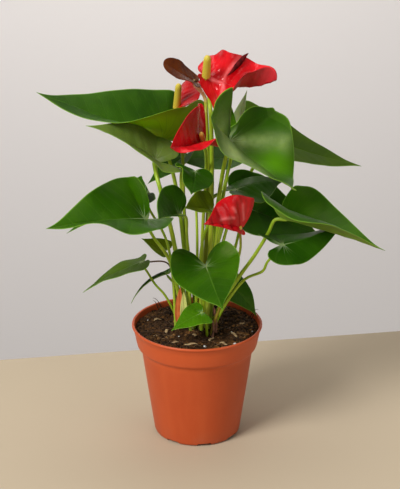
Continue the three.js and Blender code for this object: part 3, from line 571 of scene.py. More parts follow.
# glow and the sheen patches are places where a blade is painted lighter: glow is painted light
# that comes through it, and a sheen patch is a painted sheen where it reflects the light. Each
# is the place along and across, the two breadths, and the strength. crest holds lines on a
# spathe, as places along and across, where its skin is folded; their pale pink is partly the
# skin's own pale vein and partly a painted highlight along the fold. notch widens the two sides
# just behind the hub.
# hub is where the stalk joins the blade, tip is the blade's point, face is the way its
# upper face looks, foot is where the stalk leaves the soil, via are points between, and
# stalk is its radius, which thins out over the taper. swelling, flush and rosy are how much
# it thickens under the blade, its brown red, and how far down it is salmon pink. drop is
# how deep under the blade it ends.
LEAVES = [
    dict(name="leaf_top_left", glow=((0.2, 0.18, 0.2, 0.16, 1),), tone="deep",
         hub=(-31, 14.5, 280), tip=(-140, -2.5, 328), face=(0.4, -0.2, 0.9), width=0.98,
         lobes=(0.9, 0.1), fold=(65, 27), curl=(2, 0), tipFold=(-77, -28), rearFold=(37, -18),
         twist=-5, arch=0.03, bend=0.07, heel=(0, 0.3), foot=(-7, 7),
         via=((-17, 11, 224.5), (-25.5, 9, 264.5)), stalk=1.8),
    dict(name="leaf_mid_left", tone="grey_sheen", hub=(-36, -25, 274), tip=(-95, -39, 309),
         face=(0.5, -0.1, 0.8), width=0.97, fold=(17, 23), curl=(-7, -12), tipFold=(14, 25),
         rearFold=(5, 5), twist=-3, arch=0.05, bend=0.01, foot=(-9, 1),
         via=((-22, -12.5, 198.5), (-32, -29.5, 248), (-36, -22.5, 261.5)), stalk=2),
    dict(name="leaf_left", tone="mid", hub=(-45.5, -49, 228), tip=(-127.5, -89.5, 233.5),
         face=(0.4, -0.7, 0.55), lobes=(0.7, 0.3), halves=(0.81, 1.16),
         rolls=((75, 60, 55, 75, 30), (-5, -25, -25, -15, -10)),
         curls=((0, -5, -25, 0, -10), (0,) * 5), twist=-5, arch=0.09, heel=(10, 25),
         foot=(-13, -5.5), via=((-24, -17, 174), (-38, -37.5, 206), (-43, -45, 219)), stalk=1.5),
    dict(name="leaf_front_right", notch=(0, 0.15),
         painted_sheen=((0.07, 0.1, 0.07, 0.14, 0.7), (0.18, 0.28, 0.08, 0.14, 0.6),
              (0.3, 0.42, 0.08, 0.12, 0.5), (0.25, -0.35, 0.35, 0.22, 1)),
         glow=((0.42, 0.2, 0.16, 0.2, 1),), tone="mid", hub=(29, -45, 296.5), tip=(83, -95, 270),
         face=(0.6, 0.3, 0.7), width=1.52, lobes=(0.8, 1.7),
         rolls=((40, 52, 58, 22, -5), (-10, 0, -20, -15, 0)),
         curls=((-5, 12, 14, 12, -10), (0,) * 5), twist=-2, bend=0.23, heel=(70, 95),
         halves=(1, 0.95), foot=(5.5, -3), via=((16.5, -4.5, 209), (24, -33, 274)), stalk=1.9),
    dict(name="leaf_back_right", tone="matt", hub=(63, 32, 274), tip=(151, 50, 242),
         face=(0.4, -0.3, 0.9), width=0.94, fold=(2, 20), curl=(3, 1), tipFold=(-14, -12),
         rearFold=(5, 5), bend=-0.02, foot=(5, 12.5),
         via=((26, 28, 199), (49.5, 55, 235), (61, 38, 261.5)), stalk=1.6),
    dict(name="leaf_inner_right", tone="deep", hub=(35, -0.5, 238), tip=(78, 37.5, 231),
         face=(0.2, -0.1, 1), width=1.02, fold=(-24, -3), curl=(-17, 2), tipFold=(37, -24),
         rearFold=(-7, 5), twist=16, arch=0.06, bend=-0.02, heel=(0.2, 0.3), foot=(10.5, 7.5),
         via=((22, 23, 170), (33, 28.5, 210.5)), stalk=1.4),
    dict(name="leaf_right", taper=9, drop=-0.095, tone="mid", hub=(81, -10.5, 212),
         tip=(166, -34.5, 192), face=(0.2, 0, 1), width=1.02, lobes=(0.3, 1), fold=(-3, 63),
         curl=(39, -42), tipFold=(9, -13), rearFold=(-8, -9), twist=4, arch=0.02, bend=-0.01,
         heel=(0.5, 0.5), foot=(13.5, -3.5), stalk=1.7,
         via=((36.5, -9.5, 154.5), (52, -5.5, 176.5), (64, -8.5, 199.5), (70, -8, 211.5))),
    dict(name="leaf_low_right", tone="deep", hub=(77, -22.5, 193.5), tip=(136, -0.5, 209.5),
         face=(-0.1, -0.3, 0.9), width=0.77, lobes=(0.9, 1), fold=(-5, -21), curl=(-10, 0),
         tipFold=(-36, -28), rearFold=(-8, -16), twist=3, arch=-0.05, bend=-0.01, heel=(0.6, 0.2),
         foot=(15.5, -9), via=((42, -12, 154.5), (59, -17.5, 166), (63, -21.5, 176.5)), stalk=1.3),
    dict(name="leaf_shaded_right", tone="deep", hub=(43, 25.5, 210.5), tip=(115, 36.5, 178.5),
         face=(0.4, -0.6, 0.7), width=0.99, fold=(16, 19), curl=(-2, 3), tipFold=(1, -6),
         rearFold=(5, 0), twist=1, arch=0.03, foot=(11, 17), via=((31, 43.5, 148), (41, 33, 196)),
         stalk=1.4),
    dict(name="leaf_front", tone="mid", hub=(8, -43.5, 180.5), tip=(22, -106.5, 166.5),
         face=(-0.3, -0.3, 0.9), width=1.04, fold=(-11, 7), curl=(12, 7), tipFold=(-21, -29),
         rearFold=(24, 21), twist=4, arch=0.04, heel=(0.1, 0.4), foot=(4, -16),
         via=((6, -19, 134.5), (8, -38.5, 169)), stalk=1.4),
    dict(name="leaf_low_front", tone="fresh", hub=(3.5, -32, 131), tip=(-23, -47, 120.5),
         face=(-0.1, -0.5, 0.9), lobes=(0.3, 0.5), halves=(1.08, 0.93),
         rolls=((0, 5, 15, 5, 5), (5, 0, 10, 10, 10)), arch=0.04, heel=(-10, 10), foot=(9, -22.5),
         via=((7, -27.5, 123),), stalk=1.2),
    dict(name="leaf_low_right_small", tone="mid", hub=(25, 16.5, 142), tip=(55, 12.5, 108),
         face=(0.7, -0.5, 0.5), width=1.02, fold=(0, 9), curl=(-14, -2), tipFold=(30, -1),
         rearFold=(5, 5), twist=8, arch=0.07, bend=0.02, foot=(18, 8), via=((23, 12, 132),),
         stalk=1.2),
    dict(name="leaf_low_left", tone="matt", hub=(-50.5, -16.5, 174), tip=(-102.5, -25, 148),
         face=(-0.4, -0.1, 0.9), lobes=(0.4, 0.3), halves=(0.83, 0.93),
         rolls=((10, 5, 10, 15, 10), (-10, -15, -5, -5, -10)), arch=0.04, heel=(15, 15),
         foot=(-17.5, -0.5), via=((-29, -13.5, 140.5), (-38, -14.5, 152), (-45, -10, 162)),
         stalk=1.1),
    dict(name="leaf_round", tone="deep", hub=(-16, -55, 233.5), tip=(-32, -106, 248.5),
         face=(0.8, 0, 0.7), width=1.06, fold=(31, 18), curl=(16, 2), tipFold=(-18, -23),
         rearFold=(0, -2), twist=3, bend=-0.03, heel=(0.3, 0.4), halves=(0.15, 1), lobes=(0.2, 1),
         foot=(-6, -14), via=((-8, -14, 170), (-9, -26, 205), (-10, -44, 228)), stalk=1.3),
    dict(name="leaf_bronze", tone="olive", hub=(12, -30, 228.5), tip=(-11, -55, 239.5),
         face=(0.5, -0.1, 0.9), halves=(0.78, 1.2), lobes=(0.2, 0.5),
         rolls=((5, 10, 20, 0, 0), (25, 25, 30, 20, 25)), twist=-3, arch=0.01, bend=-0.05,
         heel=(15, 20), foot=(-2.5, -8.5), via=((5, -15.5, 194), (10, -24, 214)), stalk=1.3),
    dict(name="leaf_small_heart", tone="deep", hub=(-1.5, -30, 264), tip=(-5, -62, 254.5),
         face=(0.3, -0.3, 0.9), halves=(1.15, 1.22), lobes=(0.5, 0.1),
         rolls=((5, -10, -10, 0, 10), (0, 0, 20, -5, 0)),
         curls=((10, 5, 5, 10, 10), (10, 5, 20, 10, 10)), arch=-0.03, bend=0.03, heel=(15, 10),
         foot=(0, -4), via=((0, -9.5, 201.5), (-2, -15, 251.5)), stalk=1.2),
    dict(name="leaf_behind_left", tone="deep", hub=(-13, 36.5, 254.5), tip=(-45, 25.5, 233.5),
         face=(-0.4, -0.4, 0.8), width=0.99, fold=(18, 4), curl=(5, -7), tipFold=(-15, 7),
         rearFold=(5, 5), twist=-5, arch=0.03, bend=0.01, foot=(-1.5, 13.5),
         via=((-11, 27, 197.5), (-15, 31, 236)), stalk=1.2),
    dict(name="leaf_back", tone="deep", hub=(29, 38, 253), tip=(-21, 46, 250),
         face=(-0.1, -0.3, 0.9), width=1.02, fold=(10, 1), curl=(4, -10), tipFold=(-17, 15),
         rearFold=(2, 5), twist=-8, arch=0.04, bend=0.01, foot=(3, 17.5),
         via=((15, 18, 192.5), (27.5, 38, 240)), stalk=1.4),
    dict(name="leaf_hidden_left", tone="deep", hub=(-46, 1.5, 232.5), tip=(-116.5, -14, 200.5),
         face=(0, -0.3, 1), width=0.6, fold=(15, 10), arch=0.04, foot=(-19.5, -10.5),
         via=((-27, -6.5, 189.5), (-44, 5, 219.5)), stalk=1.2, lobes=(0.15, 0)),
    dict(name="leaf_rolled", tone="pale", hub=(36, 3.5, 294), tip=(44, 11.5, 326),
         face=(-0.6, -0.7, 0), width=0.55, lobes=(0.3, 0.3), fold=(25, 25), foot=(10.5, 1.5),
         via=((20.5, -12, 221.5), (33, -0.5, 277.5)), stalk=1.2),
    dict(name="leaf_narrow", tone="deep", hub=(-28, 0, 156), tip=(-60, -8, 130), face=(-0.5, 0, 1),
         arch=0.12, foot=(-13, 6), via=((-20, 0, 144), (-27, 0, 154)), stalk=1, width=0.25),
    dict(name="leaf_pale_small", tone="olive", hub=(-30, 10, 175), tip=(-51, 12, 186),
         face=(0.2, -0.5, 0.8), lobes=(0.6, 0.6), foot=(-11, 12),
         via=((-19, 19.5, 140.5), (-27, 15, 166)), stalk=1),
]
YOUNG_LEAVES = [
    dict(name="young_upright", tone="fresh", hub=(29, -28, 299), tip=(27.5, -23, 330),
         face=(0.15, -1, 0.2), width=0.46, lobes=(0.3, 0.3), fold=(25, 25), foot=(12.5, 3),
         via=((22, -9, 221.5), (29, -17, 272)), stalk=1.1),
]
LEAF_THICKNESS = 0.5
LARGE_LEAF, LARGE_OUTLINE, SMALL_OUTLINE = 60, 60, 40
BLADE_RINGS = [*np.linspace(0, 0.965, 25)[1:], 0.985, 1.0]
BLADE_MIDDLE = np.array((0.14, 0))
THIN_RIM, CREST_BREADTH = 0.35, 1.3
STALK_DEPTH = 14
VEIN_LEAN, VEIN_BEND, LOBE_VEINS = 0.42, 0.55, 0.27


def unit(v):
    return v / np.linalg.norm(v, axis=-1, keepdims=True)


def eased(pair, a, left):
    """Each half's own angle along the blade, eased between the stations, in radians."""
    inside = np.clip(a, STATIONS[0], STATIONS[-1])
    i = np.clip(np.searchsorted(STATIONS, inside, side="right"), 1, len(STATIONS) - 1)
    t = (inside - STATIONS[i - 1]) / (STATIONS[i] - STATIONS[i - 1])
    values = np.where(left[:, None], *(np.broadcast_to(v, (len(a), len(STATIONS))) for v in pair))
    rows = np.arange(len(a))
    t = t * t * (3 - 2 * t)
    return np.radians(values[rows, i - 1] * (1 - t) + values[rows, i] * t)


def half_section(plan, a, b):
    """How far each place lies along, beside and above, and how far its lobe is raised."""
    left, across = b > 0, np.abs(b)
    front, rear, close = np.maximum(a, 0), np.maximum(-a, 0), np.minimum(across / 0.08, 1)
    pick = {key: np.where(left, *plan[key]) for key in
            ("fold", "curl", "tipFold", "rearFold", "heel")}
    if "rolls" in plan:
        start, curl = eased(plan["rolls"], a, left), 2 * eased(plan["curls"], a, left)
        curl = np.where(np.abs(curl) < 1e-3, 1e-3, curl)
        heel = np.radians(pick["heel"]) * close
        beside = (np.sin(start + curl * across) - np.sin(start)) / curl
        above = (np.cos(start) - np.cos(start + curl * across)) / curl
        return front - rear * np.cos(heel), beside, above, rear * np.sin(heel)
    fold = np.radians(pick["fold"] + pick["curl"] * 2 * across + pick["tipFold"] * front
                      + pick["rearFold"] * np.minimum(rear / 0.2, 1))
    return a, across * np.cos(fold), across * np.sin(fold), pick["heel"] * rear * close


def blade_surface(plan):
    """The blade's middle surface: a function from shares along and across to places."""
    hub, tip, face = (np.array(plan[key], float) for key in ("hub", "tip", "face"))
    length = np.linalg.norm(tip - hub)
    along = (tip - hub) / length
    up = unit(face - along * (face @ along))
    left = np.cross(up, along)

    def surface(a, b):
        ahead, beside, above, raised = half_section(plan, a, b)
        turn = math.radians(plan["twist"]) * a
        flat, bow = np.sign(b) * beside, 4 * a * (1 - np.maximum(a, 0))
        ripple = plan["wave"] * np.sin(11 * a + 3 * np.where(b > 0, 0, 1)) * (b / 0.4) ** 2
        y = flat * np.cos(turn) - above * np.sin(turn) + plan["bend"] * bow
        z = flat * np.sin(turn) + above * np.cos(turn) + plan["arch"] * bow + raised + ripple
        return hub + (ahead[:, None] * along + y[:, None] * left + z[:, None] * up) * length
    return surface, length


def curve_part(p1, p2, m1, m2, count):
    """Points from p1 to p2 that leave along m1 and arrive along m2."""
    t = np.linspace(0, 1, count, endpoint=False)[:, None]
    square, cube = 3 * (p2 - p1) - 2 * m1 - m2, 2 * (p1 - p2) + m1 + m2
    return p1 + m1 * t + square * t ** 2 + cube * t ** 3


def shared_out(fine, shares):
    """The points of a fine line at these shares of its length."""
    reach = np.concatenate([[0], np.cumsum(np.linalg.norm(np.diff(fine, axis=0), axis=1))])
    return np.stack([np.interp(shares * reach[-1], reach, column) for column in fine.T], 1)


def facing(surface, a, b, step=0.004):
    """The way the surface's upper face looks at each place."""
    along = surface(a + step, b) - surface(a - step, b)
    return unit(np.cross(along, surface(a, b + step) - surface(a, b - step)))


def smooth_path(knots, count):
    """Evenly spaced points of a smooth curve through knots, which may be close together."""
    knots = np.array(knots, float)
    ends = [2 * knots[0] - knots[1], *knots, 2 * knots[-1] - knots[-2]]
    fine = []
    for p0, p1, p2, p3 in zip(ends, ends[1:], ends[2:], ends[3:]):
        d0, d1, d2 = (max(np.linalg.norm(q - p), 1e-4) ** 0.5 for p, q in
                      ((p0, p1), (p1, p2), (p2, p3)))
        m1 = ((p1 - p0) / d0 - (p2 - p0) / (d0 + d1) + (p2 - p1) / d1) * d1
        m2 = ((p2 - p1) / d1 - (p3 - p1) / (d1 + d2) + (p3 - p2) / d2) * d1
        fine.append(curve_part(p1, p2, m1, m2, 60))
    return shared_out(np.concatenate([*fine, knots[-1:]]), np.linspace(0, 1, count))


def uniform_path(knots, count):
    """Points of a smooth curve through the knots of an outline, closer near its two ends."""
    knots = np.array(knots, float)
    ends = [knots[0], *knots, knots[-1]]
    fine = [curve_part(p1, p2, (p2 - p0) / 2, (p3 - p1) / 2, 50) for p0, p1, p2, p3 in
            zip(ends, ends[1:], ends[2:], ends[3:])]
    shares = np.linspace(0, 1, count)
    shares = 0.75 * shares + 0.25 * (0.5 - 0.5 * np.cos(math.pi * shares))
    return shared_out(np.concatenate([*fine, knots[-1:]]), shares)


def blade_outline(edge, plan, half_points):
    notch = edge[-1][0]
    halves = []
    for sign, lobe, share, gap in zip((1, -1), plan["lobes"], plan["halves"], plan["notch"]):
        shape = []
        for a, b in edge:
            wider = gap * math.sin(math.pi * min(1, max(0, 4 * (notch - a)))) if b < 0.3 else 0
            shape.append((notch + (a - notch) * lobe if a < notch else a,
                          sign * (b + wider) * plan["width"] * share))
        halves.append(uniform_path(shape, half_points))
    return np.concatenate([halves[0], halves[1][1:-1][::-1]])


def vein_lines(a, b, spacing):
    """How far a place is from the nearest side vein, from 0 on it to 1 midway, and the
    width of the strip between two veins, as a share of the blade's length."""
    across = np.abs(b)
    s = a - VEIN_LEAN * across - VEIN_BEND * across ** 2
    radius = np.hypot(a, b) + 1e-6
    k = np.where(s > 0, s / spacing, s / radius / LOBE_VEINS)
    gap = np.where(s > 0, spacing, LOBE_VEINS * radius)
    return 1 - 2 * np.abs(k - np.floor(k) - 0.5), gap


def blade_mesh(plan, edge, thickness, half_points, relief, seed):
    """A closed blade: points in mm, faces, and the numbers its material reads."""
    surface, length = blade_surface(plan)
    outline = blade_outline(edge, plan, half_points)
    count = len(outline)
    spread = np.concatenate([[BLADE_MIDDLE], *(BLADE_MIDDLE + r * (outline - BLADE_MIDDLE)
                                               for r in BLADE_RINGS)])
    ring = np.concatenate([[0], *(np.full(count, r) for r in BLADE_RINGS)])
    a, b = spread.T
    normal = facing(surface, a, b)
    between, gap = vein_lines(a, b, relief["spacing"])
    inner = np.clip((1 - ring) / 0.12, 0, 1)
    swell = np.array([noise.noise((x * 5 + seed, y * 5, seed * 0.7)) for x, y in spread])
    rib = np.exp(-(b * length / relief["rib"]) ** 2) * np.clip(1.05 - a, 0, 1) * (a > -0.06)
    puff = relief["puff"] * length * gap * np.sin(between * math.pi / 2) * inner
    above = puff - relief["groove"] * rib + relief["swell"] * length / 100 * swell
    below = -puff * 0.8 + relief["ridge"] * rib - relief["swell"] * length / 100 * swell
    off = np.full(len(a), 1.0)
    for p, q in (np.array(pair) for line in plan["crest"] for pair in zip(line, line[1:])):
        t = np.clip((spread - p) @ (q - p) / ((q - p) @ (q - p)), 0, 1)[:, None]
        off = np.minimum(off, np.linalg.norm(spread - p - t * (q - p), axis=1))
    crest = np.exp(-(off * length / CREST_BREADTH) ** 2)
    above, below = above + 0.5 * crest, below - 0.4 * crest
    half = thickness / 2 * np.where(ring > 0.99, THIN_RIM, 1)
    middle = surface(a, b)
    points = np.concatenate([middle + normal * (half + above)[:, None],
                             middle - normal * (half + below)[:, None]])
    total = len(a)
    faces = fan(0, 1, count) + band(len(BLADE_RINGS), count, first=1, flip=True)
    faces += [tuple(total + i for i in face[::-1]) for face in faces]
    rim = 1 + (len(BLADE_RINGS) - 1) * count
    faces += [(rim + i, rim + i + total, rim + (i + 1) % count + total, rim + (i + 1) % count)
              for i in range(count)]
    numbers = {"along": [*a, *a], "across": [*b, *b], "margin": [*ring, *ring],
               "under": [0] * total + [1] * total, "near_hub": [*np.hypot(a, b)] * 2}
    for kind in ("glow", "painted_sheen"):
        amount = sum((strength * np.exp(-((a - at_a) / wide_a) ** 2 - ((b - at_b) / wide_b) ** 2)
                      for at_a, at_b, wide_a, wide_b, strength in plan[kind]), np.zeros(total))
        numbers[kind] = [*np.clip(amount, 0, 1)] * 2
    numbers["crest"] = [*crest] * 2
    return points, faces, numbers


def stalk_mesh(knots, radius, swelling, seed, taper=1.6, sides=12):
    """A closed round stalk along a smooth curve, thicker at its foot and under its blade."""
    rough = sum(np.linalg.norm(np.subtract(p, q)) for p, q in zip(knots, knots[1:]))
    count = max(24, int(rough / 2.2))
    share = np.linspace(0, 1, count)
    reach = share * rough
    radii = radius * (1.15 - 0.25 * share)
    radii *= 1 + swelling * np.exp(-((rough - reach - 4) / 5) ** 2)
    radii *= 1 + 0.05 * np.array([noise.noise((x / 14, seed, 0)) for x in reach])
    radii *= np.sqrt(np.clip((rough - reach + 0.25) / taper, 0.05, 1))
    points, faces = strand(smooth_path(knots, count), radii, sides)
    return points, faces, {"share": np.repeat(share, sides),
                           "reach": np.repeat(rough - reach, sides)}


def under_hub(surface, drop):
    """The place just under the blade's hub, on its lower face."""
    here, ahead, left, right = surface(np.array([0, 0.02, 0, 0]), np.array([0, 0, 0.02, -0.02]))
    return here - unit(np.cross(ahead - here, left - right)) * drop


def rooted(foot, *knots):
    """A path that starts deep in the soil and leaves it upright at its foot."""
    return [(*foot, SOIL_TOP - STALK_DEPTH), (*foot, SOIL_TOP + 3), *knots]


# Leaf veins: a midrib, side veins that leave it and bend towards the tip, and veins that
# fan out from the hub into the two lobes, all worked out from the blade's own shares.
leaf_veins, ins, outs = new_group(
    "leaf_veins",
    [("Along", "Float", 0.0), ("Across", "Float", 0.0), ("Spacing", "Float", 0.1),
     ("Width", "Float", 0.006), ("Waver", "Float", 0.012)],
    [("Midrib", "Float"), ("Side veins", "Float")],
)
across = maths("ABSOLUTE", ins["Across"])
waver = times(minus(speckle(leaf_veins, 45, 2), 0.5), ins["Waver"])
lean = times(across, VEIN_LEAN)
bent = times(times(across, across), VEIN_BEND)
s = minus(minus(ins["Along"], lean), bent)
s = plus(s, waver)
in_front = maths("GREATER_THAN", s, 0.0)
squares = plus(times(ins["Along"], ins["Along"]), times(across, across))
lobe_strip = times(maths("SQRT", squares), LOBE_VEINS)
strip = plus(times(in_front, ins["Spacing"]), times(minus(1.0, in_front), lobe_strip))
strip = maths("MAXIMUM", strip, 0.002)
turns = maths("FRACT", maths("DIVIDE", s, strip))
off = maths("ABSOLUTE", minus(turns, 0.5))
off = minus(0.5, off)
away = times(off, strip)
thin = times(ins["Width"], minus(1.15, times(across, 2.0)))
rib = times(ins["Width"], minus(2.3, times(ins["Along"], 1.9)))
feed(outs, [ramp(across, rib, times(rib, 0.45)), ramp(away, thin, times(thin, 0.25))])

# Leaf tissue: a fine net of cells between the veins, and blotches where it is greener.
tissue, ins, outs = new_group(
    "leaf_tissue", [("Cell size", "Float", 420.0), ("Blotch size", "Float", 28.0)],
    [("Cells", "Float"), ("Blotches", "Float")],
)
cells = tissue.nodes.new("ShaderNodeTexVoronoi")
cells.feature = "DISTANCE_TO_EDGE"
wire(cells.inputs, Vector=object_place(tissue), Scale=ins["Cell size"])
blotches = tissue.nodes.new("ShaderNodeTexNoise")
wire(blotches.inputs, Detail=4, Vector=object_place(tissue), Scale=ins["Blotch size"])
feed(outs, [ramp(cells.outputs["Distance"], 0.0, 0.22), ramp(blotches.outputs[0], 0.32, 0.72)])

LEAF_TONES = {  # upper face dark and light, lower face dark and light, veins, gloss
    "deep": ((0.012, 0.055, 0.001), (0.024, 0.088, 0.001), (0.15, 0.22, 0.004), (0.22, 0.3, 0.006),
             (0.05, 0.13, 0.01), 0.40),
    "mid": ((0.018, 0.072, 0.001), (0.036, 0.112, 0.001), (0.12, 0.20, 0.028), (0.18, 0.28, 0.045),
            (0.10, 0.20, 0.02), 0.36),
    "matt": ((0.034, 0.078, 0.001), (0.055, 0.108, 0.001), (0.12, 0.20, 0.028),
             (0.18, 0.28, 0.045), (0.10, 0.20, 0.02), 0.62),
    "fresh": ((0.034, 0.12, 0.001), (0.066, 0.185, 0.002), (0.13, 0.22, 0.004), (0.19, 0.29, 0.01),
              (0.17, 0.32, 0.04), 0.36),
    "olive": ((0.07, 0.10, 0.001), (0.105, 0.14, 0.002), (0.09, 0.13, 0.004), (0.13, 0.18, 0.006),
              (0.13, 0.19, 0.02), 0.42),
    # This tone's pale grey-green upper face is a painted sheen, where a blade reflects the light.
    "grey_sheen": ((0.10, 0.16, 0.022), (0.165, 0.235, 0.045), (0.09, 0.14, 0.02), (0.14, 0.2, 0.04),
              (0.15, 0.22, 0.06), 0.42),
    # This tone's pale grey-green is a painted sheen on a young rolled blade.
    "pale": ((0.34, 0.42, 0.2), (0.46, 0.54, 0.3), (0.4, 0.48, 0.26), (0.5, 0.58, 0.36),
             (0.45, 0.53, 0.3), 0.5),
}
# Colours of painted light: light coming through a blade, above and below, and a painted sheen.
GLOW, SHEEN_COLOUR, GLOW_BELOW = (0.085, 0.25, 0.002), (0.40, 0.50, 0.18), (0.42, 0.6, 0.006)
leaf_finish = {}
for tone, (dark, light, under_dark, under_light, vein, gloss) in LEAF_TONES.items():
    material, tree, sockets = new_material(
        f"leaf_{tone}", Specular_IOR_Level=0.15, Specular_Tint=(1.0, 0.84, 0.42, 1),
        Subsurface_Weight=0.4, Subsurface_Radius=(0.6, 1.0, 0.05), Subsurface_Scale=0.002,
    )
    veins = place_group(tree, leaf_veins, Along=attribute(tree, "along"),
                        Across=attribute(tree, "across"), Spacing=0.15, Width=0.0045)
    flesh = place_group(tree, tissue)
    under, margin = attribute(tree, "under"), attribute(tree, "margin")
    upper = mix(flesh["Blotches"], dark, light)
    upper = mix(times(veins["Side veins"], 0.16), upper, vein)
    upper = mix(times(veins["Midrib"], 0.5), upper, vein)
    # Painted light: glow brightens a blade where light comes through it.
    upper = mix(attribute(tree, "glow"), upper, GLOW)
    # Painted sheen: pale grey-green streaks where the upper face reflects the light.
    streaky = ramp(speckle(tree, 60, 4), 0.25, 0.7, 0.45, 1.0)
    upper = mix(times(attribute(tree, "painted_sheen"), streaky), upper, SHEEN_COLOUR)
    hub = ramp(attribute(tree, "near_hub"), 0.2, 0.02, 0.0, 0.5)
    ribs = maths("MAXIMUM", veins["Side veins"], veins["Midrib"])
    upper = mix(times(hub, ribs), upper, (0.4, 0.48, 0.25))
    lower = mix(flesh["Blotches"], under_dark, under_light)
    # Painted light coming through the blade, on its lower face.
    lower = mix(attribute(tree, "glow"), lower, GLOW_BELOW)
    lower = mix(times(ribs, 0.4), lower, tuple(min(1, 1.4 * c) for c in vein))
    both = mix(under, upper, lower)
    rim = ramp(margin, 0.972, 0.992, 0.0, 0.55)
    wire(sockets, Base_Color=mix(rim, both, (0.2, 0.36, 0.04)))
    dull = plus(times(under, 0.14), gloss + 0.03)
    dull = plus(dull, times(flesh["Blotches"], 0.07))
    wire(sockets, Roughness=dull)
    height = minus(times(flesh["Cells"], 0.25), times(ribs, 0.5))
    wire(sockets, Normal=bump(height, 0.00022, 0.7))
    leaf_finish[tone] = material

# Stalks: smooth and juicy, paler at the swelling under the blade, flushed with brown red on
# some, with fine lines along them.
stalk_skin, tree, sockets = new_material(
    "stalk_skin", Specular_IOR_Level=0.3, Subsurface_Weight=0.15,
    Subsurface_Radius=(0.6, 1.0, 0.2), Subsurface_Scale=0.0015,
)
lines = ramp(speckle(tree, 700, 3, (1, 1, 0.05)), 0.35, 0.7)
patches = ramp(speckle(tree, 30, 3, (1, 1, 0.5)), 0.35, 0.7)
green = mix(patches, (0.27, 0.42, 0.012), (0.46, 0.62, 0.04))
green = mix(times(lines, 0.35), green, (0.12, 0.22, 0.004))
green = mix(ramp(attribute(tree, "reach"), 16, 4, 0, 0.6), green, (0.24, 0.38, 0.035))
green = mix(ramp(attribute(tree, "share"), 0.25, 0.05, 0, 0.6), green, (0.27, 0.33, 0.06))
flush = times(attribute(tree, "flush"), plus(patches, 0.35), clamp=True)
skin = mix(flush, green, (0.20, 0.05, 0.012))
wire(sockets, Base_Color=mix(attribute(tree, "rosy"), skin, (1.0, 0.42, 0.28)),
     Roughness=plus(times(lines, 0.1), 0.34), Normal=bump(lines, 0.0001, 0.6))


def place_stalk(name, plan, surface, node, seed):
    """A stalk that stands in the soil, as a piece of its own."""
    knots = rooted(plan["foot"], *plan["via"], under_hub(surface, plan["drop"]))
    points, faces, numbers = stalk_mesh(knots, plan["stalk"], plan["swelling"], seed,
                                        plan["taper"])
    numbers["flush"] = np.full(len(points), plan["flush"])
    pink = np.clip(1.6 - 1.6 * numbers["reach"] / max(plan["rosy"], 1), 0, 1)
    numbers["rosy"] = pink * (plan["rosy"] > 0)
    fit_piece(new_piece(name, points * MM, faces, stalk_skin, numbers), node)


LEAF_RELIEF = dict(spacing=0.15, puff=0.022, groove=0.3, ridge=0.6, rib=1.2, swell=0.8)
for seed, plan in enumerate(LEAVES + YOUNG_LEAVES):
    name, node = plan["name"], plan["name"] if plan in LEAVES else None
    plan = {**BLADE, "swelling": 0.3, "flush": 0.03, **plan}
    plan["drop"] += 0.35 * plan["stalk"]
    surface, length = blade_surface(plan)
    half_points = LARGE_OUTLINE if length > LARGE_LEAF else SMALL_OUTLINE
    points, faces, numbers = blade_mesh(plan, LEAF_EDGE, LEAF_THICKNESS, half_points, LEAF_RELIEF,
                                        seed)
    blade = new_piece(name.replace("leaf", "blade"), points * MM, faces, leaf_finish[plan["tone"]],
                      numbers)
    fit_piece(blade, node)
    stalk_name = name.replace("leaf", "stalk") if node else name + "_stalk"
    place_stalk(stalk_name, plan, surface, node, seed)

# ----------------------------------------------------------------------
# Blooms: a waxy, puckered red spathe held out flat or hooded at the top of its own stalk,
# with a spadix, a tapered rod of tiny packed florets, that stands up from its hub.
SPATHE_EDGES = {
    "POINTED": [(1, 0), (0.95, 0.03), (0.84, 0.14), (0.66, 0.3), (0.44, 0.43), (0.2, 0.5),
                (-0.02, 0.48), (-0.2, 0.38), (-0.28, 0.24), (-0.24, 0.11), (-0.13, 0.035),
                (-0.05, 0)],
    "ROUND": [(1, 0), (0.99, 0.1), (0.94, 0.21), (0.84, 0.32), (0.68, 0.42), (0.48, 0.48),
              (0.26, 0.5), (0.05, 0.46), (-0.1, 0.36), (-0.18, 0.23), (-0.16, 0.1),
              (-0.1, 0.03), (-0.05, 0)],
}
